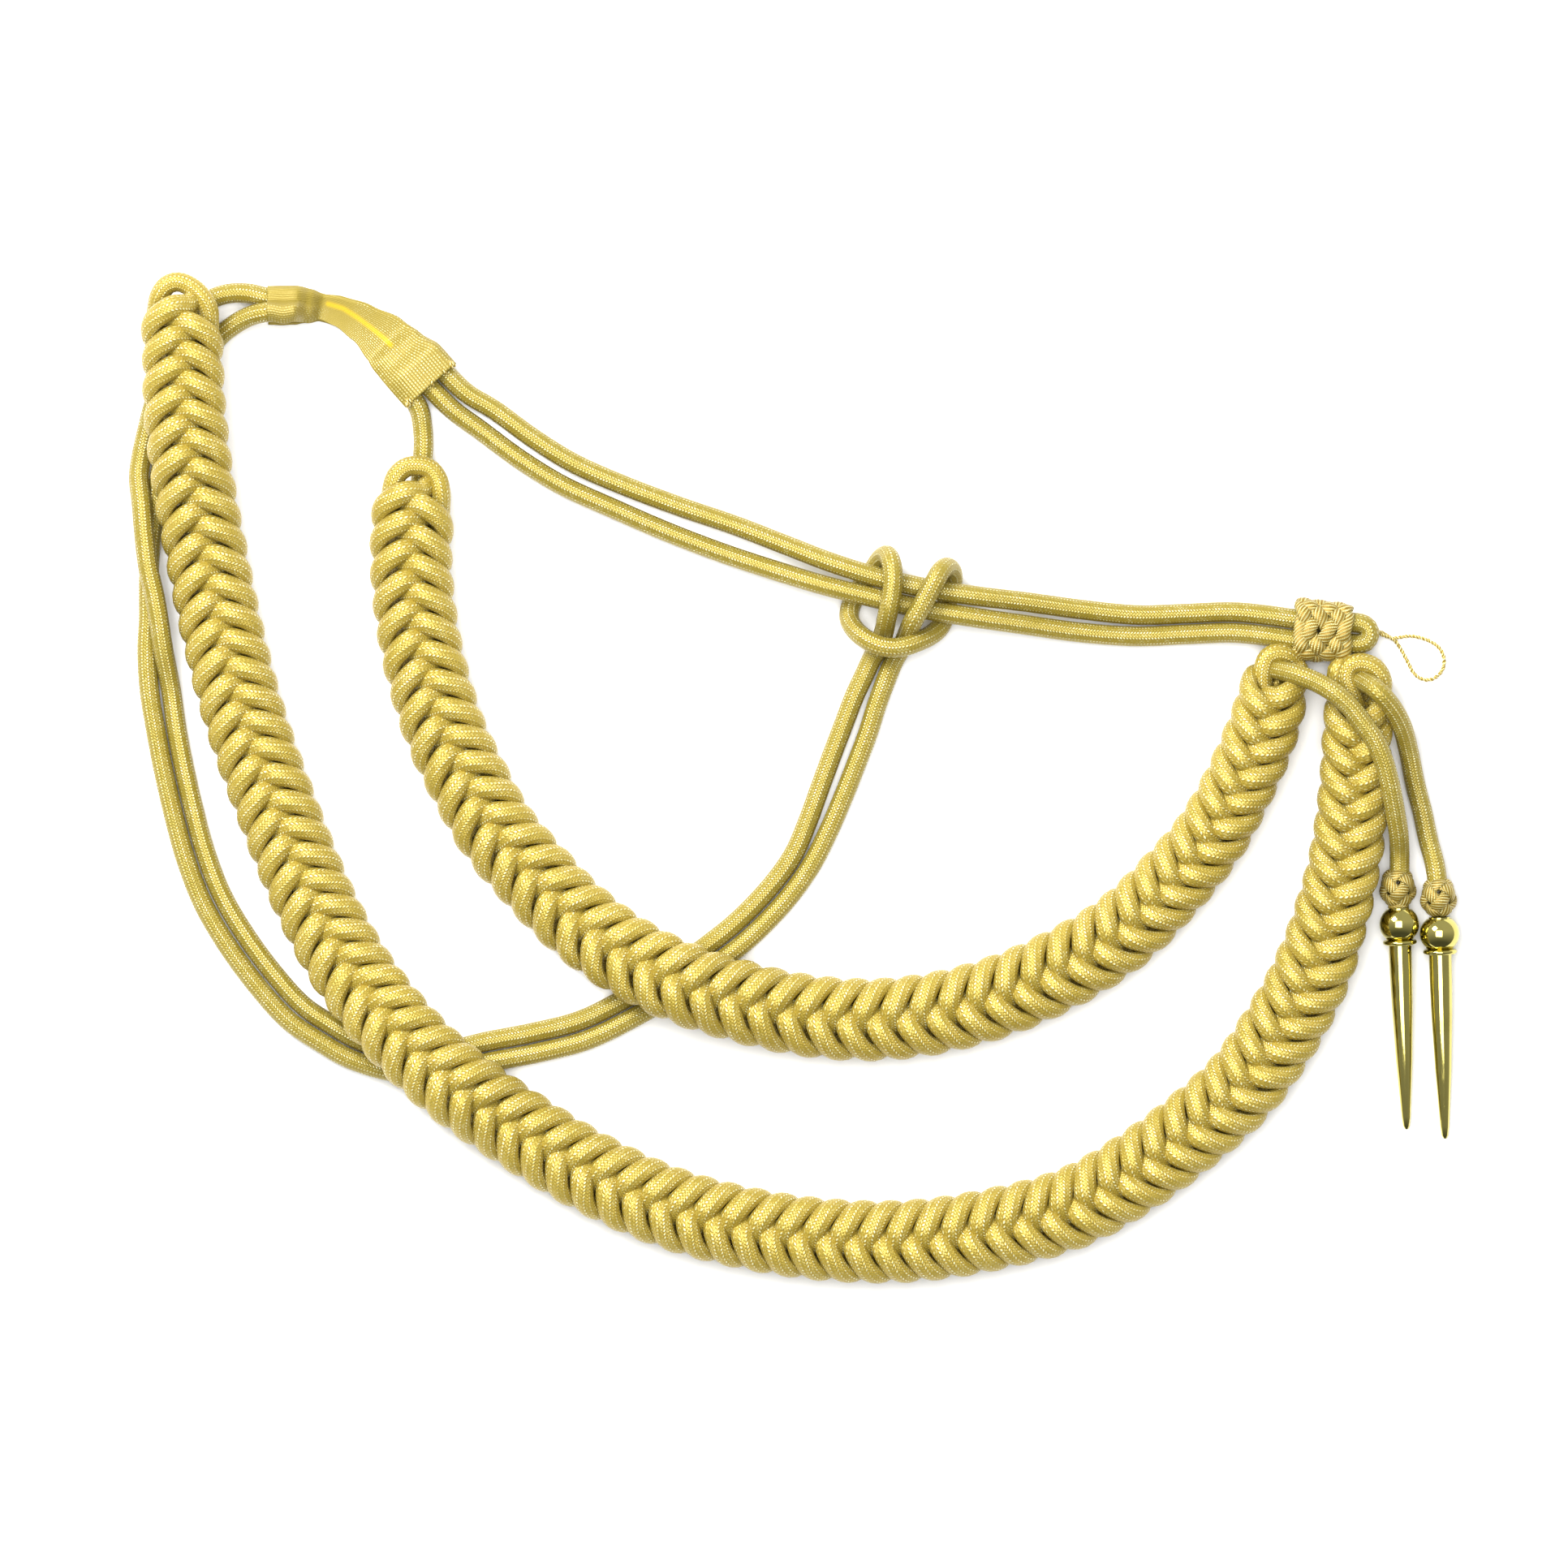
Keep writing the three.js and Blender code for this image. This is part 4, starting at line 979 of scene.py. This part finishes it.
def needleProfile():
    shape = needleShape
    ballRadius, ballHalf = shape["ballDiameter"] / 2, shape["ballHeight"] / 2
    shankRadius, tipRadius = shape["shankDiameter"] / 2, shape["tipDiameter"] / 2
    flangeRadius, rim = shape["flangeDiameter"] / 2, shape["collarThickness"] / 2
    rimMiddle = shape["collarDiameter"] / 2 - rim
    collarLow = -ballHalf - 2 * rim
    profile = [(flangeRadius, ballHalf + shape["flangeThickness"]), (flangeRadius, ballHalf)]
    topAngle = math.acos(shape["ballCut"])
    for angle in np.linspace(topAngle, -topAngle, shape["ballSteps"] + 1):
        high = ballHalf * math.sin(angle) / math.sin(topAngle)
        profile.append((ballRadius * math.cos(angle), high))
    for angle in np.linspace(math.pi / 2, -math.pi / 2, shape["rimSteps"] + 1):
        profile.append((rimMiddle + rim * math.cos(angle), rim * math.sin(angle) - ballHalf - rim))
    for share, size in shape["taper"]:
        high = collarLow - shape["shankLength"] * share
        profile.append((tipRadius + (shankRadius - tipRadius) * size, high))
    share, size = shape["point"]
    profile.append((tipRadius * size, collarLow - shape["shankLength"] * share))
    return profile


def turnedPiece(name, profile):
    # a disc is pulled down ring by ring, as on a lathe
    bpy.ops.object.select_all(action="DESELECT")
    radius, height = profile[0]
    bpy.ops.mesh.primitive_circle_add(vertices=needleShape["segments"], radius=radius * mm,
                                      fill_type="NGON", location=(0, 0, height * mm))
    piece = bpy.context.object
    piece.name = name
    bpy.ops.object.transform_apply(location=True, rotation=True, scale=True)
    bpy.ops.object.mode_set(mode="EDIT")
    bpy.ops.mesh.select_all(action="SELECT")
    bpy.ops.mesh.select_mode(type="EDGE")
    for nextRadius, nextHeight in profile[1:]:
        move = (0, 0, (nextHeight - height) * mm)
        bpy.ops.mesh.extrude_edges_move(TRANSFORM_OT_translate={"value": move})
        share = nextRadius / radius
        bpy.ops.transform.resize(value=(share, share, 1), center_override=(0, 0, nextHeight * mm))
        radius, height = nextRadius, nextHeight
    bpy.ops.mesh.edge_face_add()
    bpy.ops.mesh.select_all(action="SELECT")
    bpy.ops.mesh.remove_doubles(threshold=0.001 * mm)
    bpy.ops.mesh.normals_make_consistent(inside=False)
    bpy.ops.object.mode_set(mode="OBJECT")
    bpy.ops.object.shade_smooth_by_angle(angle=math.radians(needleShape["sharpAngle"]))
    return piece


def layNeedle(piece, ball, tip):
    direction = tip - ball
    level = math.hypot(direction[0], direction[1])
    turn = math.atan2(direction[1], direction[0]) - math.pi / 2
    piece.rotation_euler = (math.atan2(level, -direction[2]), 0, turn)
    piece.location = tuple(ball * mm)
    bpy.ops.object.select_all(action="DESELECT")
    piece.select_set(True)
    bpy.context.view_layer.objects.active = piece
    bpy.ops.object.transform_apply(location=True, rotation=True, scale=True)


def buildNeedles():
    made = {}
    for side, places in needlePlaces.items():
        ball = np.array((*places["ball"], needleShape["ballDiameter"] / 2))
        tip = np.array((*places["tip"], needleShape["tipDiameter"] / 2))
        needle = turnedPiece(f"needle_{side}_turned", needleProfile())
        layNeedle(needle, ball, tip)
        needle.data.materials.append(needleBrass)
        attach(needle, "root")
        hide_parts(f"needle_{side}")
        way = unit(np.array((tip[0] - ball[0], tip[1] - ball[1], 0.0)))
        back = (needleShape["ballHeight"] / 2 + needleShape["flangeThickness"] + needleShape["knotGap"]
                + needleShape["knotHeight"] / 2)
        centre = ball - way * back
        centre[2] = needleKnotFacts["centreHeight"]
        bundle = Bundle()
        addNeedleKnot(bundle, centre, way, places["hasNeck"])
        knot = bundle.makePiece(f"needle_knot_{side}_rope", goldRope)
        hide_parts(f"needle_knot_{side}")
        made[side] = [knot, needle]
    return made


needlePieces = buildNeedles()
bundle = Bundle()
addSlideKnot(bundle)
slideKnot = bundle.makePiece("slide_knot_rope", goldRope)
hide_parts("slide_knot")
print("knots woven, needles turned")

# the lace tape: one strip folded over the cord ends

tape = {
    "wall": tapeWall,
    "foldRadius": 1.8,
    "foldRoundness": 0.8,
    "drawnPoints": (60, 30, 89),      # lower layer, fold, upper layer
    "crown": (0.22, 0.3),             # the upper layer rises over the open edge's cords: from, over
    "droop": (0.6, 0.4),              # and its edge droops: from, over
    "ribDepth": 0.11,
    "pointsPerRib": 4,
    "sectionStep": 0.7,
    "openEdgeDroop": 2.6,
    "gatheredLength": 22,             # the end that is drawn together over two cords
    "waveLength": 8.3,
    "waveDepth": 0.7,
    "waveStart": 0.6,
    "upperShort": 0.5,                # how far the upper layer stops short of the lower one there
    "plainStrip": (0.80, 0.10),       # the strip beside the fold is worn plain: share across, fade
    "plainLength": (27, 4),           # length, fade
    "neck": (22, 6, 0.8),             # the neck is worn too: place, reach, share
    "stainPath": [(-11.7, 6), (-7, 4.6), (-2, 1.4), (3, -2.4), (6.5, -5.3), (8.3, -7.2)],
    "stainWidth": 1.35,
    "stainCore": 1.4,                 # above 1 the stain has an even core
    "stainFade": 1.5,
    "flatWidth": 0.0450,              # metres, both layers and the fold, at the wide end
    "flatLength": 0.0610,
    "flatArea": 0.00199,
}
one, two = 7.0, 11.89                 # the height inside over one cord, and over two
# x, y, how far the edges lie each side of the line, the height inside by the fold and by the open edge
tapeRows = [
    (-31, 6.2, 6.8, 5.5, one, two), (-26.5, 6.2, 7.0, 5.6, one, two), (-22, 6.2, 6.8, 5.6, one, two),
    (-17.5, 5.6, 5.8, 5.2, 0.55 * one, 0.4 * two), (-13.5, 5, 4.6, 4.3, 0.3, 0.3),
    (-8, 3.6, 4.9, 5, 0.3, 0.3), (-1, 0.2, 6.4, 6.3, 0.3, 0.3), (6.5, -5.3, 8.6, 8.4, 0.3, 0.3),
    (10.4, -9.6, 9.2, 9.8, 0.5 * one, 0.5 * one), (15.2, -15, 9.4, 11.9, one, one),
    (20.5, -21, 9.4, 11.9, one, one),
]


def foldedSection(low, high, foldCavity, openCavity, lowTop, droop):
    # middle of the lace in the section: lower layer, fold, upper layer
    wall = tape["wall"]
    height = foldCavity + wall
    reach = min(height / 2, tape["foldRadius"] + wall / 2)
    start = high - reach - wall / 2
    lowerCount, foldCount, upperCount = tape["drawnPoints"]
    lower = np.stack((np.linspace(-low, start, lowerCount), np.full(lowerCount, wall / 2)), 1)
    angle = np.linspace(-math.pi / 2, math.pi / 2, foldCount)[1:]
    turned = np.stack((start + reach * np.cos(angle) ** tape["foldRoundness"],
                       wall / 2 + height / 2 * (1 + np.sin(angle))), 1)
    share = np.linspace(0, 1, upperCount + 1)[1:]
    climb = eased(share, *tape["crown"])
    sag = droop * ramped(share, *tape["droop"]) ** 2
    upper = np.stack((start - share * (start + lowTop),
                      wall / 2 + height + (openCavity - foldCavity) * climb - sag), 1)
    return np.vstack((lower, turned, upper))


def stainOf(points):
    path = evenly(np.array(tape["stainPath"], float), 0.5)
    distance = np.linalg.norm(points[:, None, :2] - path[None, :, :], axis=2).min(1)
    stain = np.clip(tape["stainCore"] * (1 - distance / tape["stainWidth"]), 0, 1)
    return stain ** tape["stainFade"] * (points[:, 2] > tape["wall"])


def buildTape():
    rows = np.array(tapeRows, float)
    line = throughPoints([(x, y, 0.0) for x, y in rows[:, :2]], tape["sectionStep"])
    travelled = lengthsAlong(line)
    own = placesOf(rows[:, :2], line[:, :2])
    lefts = leftOfWays(unit(np.gradient(line, axis=0)))
    ribs = round(tape["flatWidth"] / mm / laceLook["ribPitch"])
    count = ribs * tape["pointsPerRib"] + 1
    columns = [easedAt(travelled, own, rows[:, column]) for column in range(2, 6)]
    rings, area = [], 0.0
    for index, place in enumerate(travelled):
        low, high, foldCavity, openCavity = (column[index] for column in columns)
        gathered = float(np.clip(1 - place / tape["gatheredLength"], 0, 1)) ** 0.5
        wave = 0.5 + 0.5 * math.sin(2 * math.pi * place / tape["waveLength"] + tape["waveStart"])
        lowTop = low - gathered * (tape["upperShort"] + tape["waveDepth"] * wave)
        droop = min(tape["openEdgeDroop"], 0.5 * openCavity)
        middle = resampled(foldedSection(low, high, foldCavity, openCavity, lowTop, droop), count)
        along = unit(np.gradient(middle, axis=0))
        outward = np.stack((along[:, 1], -along[:, 0]), 1)
        rib = np.abs(np.sin(np.arange(count) * math.pi / tape["pointsPerRib"])) * tape["ribDepth"]
        outer = middle + outward * (tape["wall"] / 2 - tape["ribDepth"] + rib)[:, None]
        inner = middle - outward * tape["wall"] / 2
        outer[:, 1] = np.maximum(outer[:, 1], 0)
        section = np.vstack((outer, inner[::-1]))
        rings.append(line[index] + section[:, :1] * lefts[index] + section[:, 1:] * up)
        step = travelled[min(index + 1, len(travelled) - 1)] - place
        area += lengthsAlong(middle)[-1] * step
    grid = np.array(rings)
    across = np.linspace(0, tape["flatWidth"] / mm, count)
    bundle = Bundle()
    u = np.concatenate((across, across[::-1], across[:1]))
    bundle.addGrid(grid, u, travelled)
    size = grid.shape[1]
    for ring, turned in ((0, -1), (len(grid) - 1, 1)):
        for side in range(count - 1):
            corners = [side, side + 1, size - 2 - side, size - 1 - side][::turned]
            bundle.faces.append([ring * size + corner for corner in corners])
            bundle.uvs += [(u[corner], travelled[ring]) for corner in corners]
    piece = bundle.makePiece("shoulder_tape_lace", goldLace)
    points = np.vstack(bundle.vertices)
    places = np.repeat(travelled, size)
    upperShare = np.tile(np.concatenate((np.linspace(0, 1, count), np.linspace(1, 0, count))), len(grid))
    edge, fade = tape["plainStrip"]
    byFold = ramped(edge - upperShare, 0, fade)
    end, fade = tape["plainLength"]
    neck, reach, share = tape["neck"]
    plain = ramped(end - places, 0, fade) * byFold + share * ramped(reach - np.abs(places - neck), 0, reach)
    colours = np.tile((0, 0, 0, 1), (len(points), 1)).astype(np.float32)
    colours[:, 0], colours[:, 1] = stainOf(points), np.clip(plain, 0, 1)
    marks = piece.data.color_attributes.new("marks", "FLOAT_COLOR", "POINT")
    marks.data.foreach_set("color", colours.ravel())
    print("tape folded from", round(area), "square millimetres, faces", len(piece.data.polygons))
    return piece


shoulderTape = buildTape()
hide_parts("shoulder_tape")

# yellow thread stitches that hold the tape's wide mouth

stitches = {
    "middle": (20.5, -21.0),          # the mouth's middle line and its way out
    "wayOut": (5.3, -6.0),
    "top": 9.55,
    "openEdge": (4, 5.4),             # the lace droops towards its open edge: from, over
    "fold": (9.2, 2.5, 1.9),          # and rounds off at its fold: from, over, by
    # each stitch as drawn: back and aside in shares of its reach and lean, out, up
    "drawn": [(1, 1, 0, -0.5), (1, 0.8, 0.4, 0), (0, 0, -0.2, 0.05), (0, 0, 0.35, -0.5),
              (0, -0.4, 0.3, -1.6)],
    "threadDiameter": 0.8,
    "threadStep": 0.25,
    "threadSides": 8,
    # place along the mouth, reach back, lean
    "places": [(-8.9, 1.7, 0.5), (-7.9, 2.2, 0.1), (-6.9, 1.8, -0.3), (-8.3, 1.1, 1.0),
               (1.8, 1.3, 0.5), (7.3, 1.5, -0.3), (10.1, 2.0, 0.5), (11.0, 1.5, -0.1)],
}


def sewMouth():
    facts = stitches
    way = unit(np.array((*facts["wayOut"], 0.0)))
    left = np.array((-way[1], way[0], 0.0))
    bundle = Bundle()
    for place, reach, lean in facts["places"]:
        base = np.array((*facts["middle"], 0.0)) + left * place
        start, over, by = facts["fold"]
        top = (facts["top"] - tape["openEdgeDroop"] * ramped(-place, *facts["openEdge"]) ** 2
               - by * ramped(place, start, over) ** 2)
        corners = [base + way * (out - back * reach) + left * aside * lean + up * (top + high)
                   for back, aside, out, high in facts["drawn"]]
        thread = throughPoints(corners, facts["threadStep"])
        bundle.addTube(thread, facts["threadDiameter"] / 2, facts["threadSides"])
    return bundle.makePiece("tape_end_stitches", goldThread)


sewMouth()

# free cords: typed lengths in metres, measured along the whole of each cord

freeCords = {
    "front_cord_run": {
        "points": frontCordPoints(), "nodes": ["front_cord"], "length": 0.6499, "holds": [slideKnot],
    },
    "arm_cord_run": {
        "points": armCordPoints(), "length": 1.227,
        "nodes": ["arm_cord_first_strand", "arm_cord_second_strand", "arm_cord_hitch"],
    },
    "hanger_cord_run": {
        "points": levelled(hangerRoute), "nodes": ["hanger_cord"], "length": 0.041,
    },
    "needle_cord_left_run": {
        "points": levelled(leftNeedleCordRoute), "nodes": ["needle_cord_left"], "length": 0.0967,
        "farEnd": "fitting", "holds": needlePieces["left"],
    },
    "needle_cord_right_run": {
        "points": levelled(rightNeedleCordRoute), "nodes": ["needle_cord_right"], "length": 0.086,
        "farEnd": "fitting", "holds": needlePieces["right"],
    },
}
buttonLoopFacts = {
    "diameter": 1.3,
    "plyDiameter": 0.78,
    "plyTurn": 3.6,                   # one whole twist, in millimetres
    "step": 0.3,
    "plySides": 8,
    "length": 0.061,
}


def declareCord(piece, path):
    print(piece.name, "runs", round(float(lengthsAlong(path)[-1]), 1), "mm")


def layCord(name, facts):
    path = throughPoints(facts["points"], cord["ringStep"])
    bundle = Bundle()
    bundle.addTube(path, cord["diameter"] / 2, cord["sides"])
    piece = bundle.makePiece(name, goldFreeBraidShaded)
    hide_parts(*facts["nodes"])
    declareCord(piece, path)


def layButtonLoop():
    # two plies twisted round each other
    facts = buttonLoopFacts
    path = throughPoints(buttonLoopRoute, facts["step"])
    tangents = unit(np.gradient(path, axis=0))
    normals = carriedNormals(tangents)
    across = np.cross(tangents, normals)
    angle = 2 * math.pi * lengthsAlong(path) / facts["plyTurn"]
    reach = (facts["diameter"] - facts["plyDiameter"]) / 2
    bundle = Bundle()
    for start in (0, math.pi):
        away = normals * np.cos(angle + start)[:, None] + across * np.sin(angle + start)[:, None]
        bundle.addTube(path + away * reach, facts["plyDiameter"] / 2, facts["plySides"])
    piece = bundle.makePiece("button_loop_run", goldThread)
    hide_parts("button_loop")
    declareCord(piece, path)


for name, facts in freeCords.items():
    layCord(name, facts)
layButtonLoop()
print("cords laid")
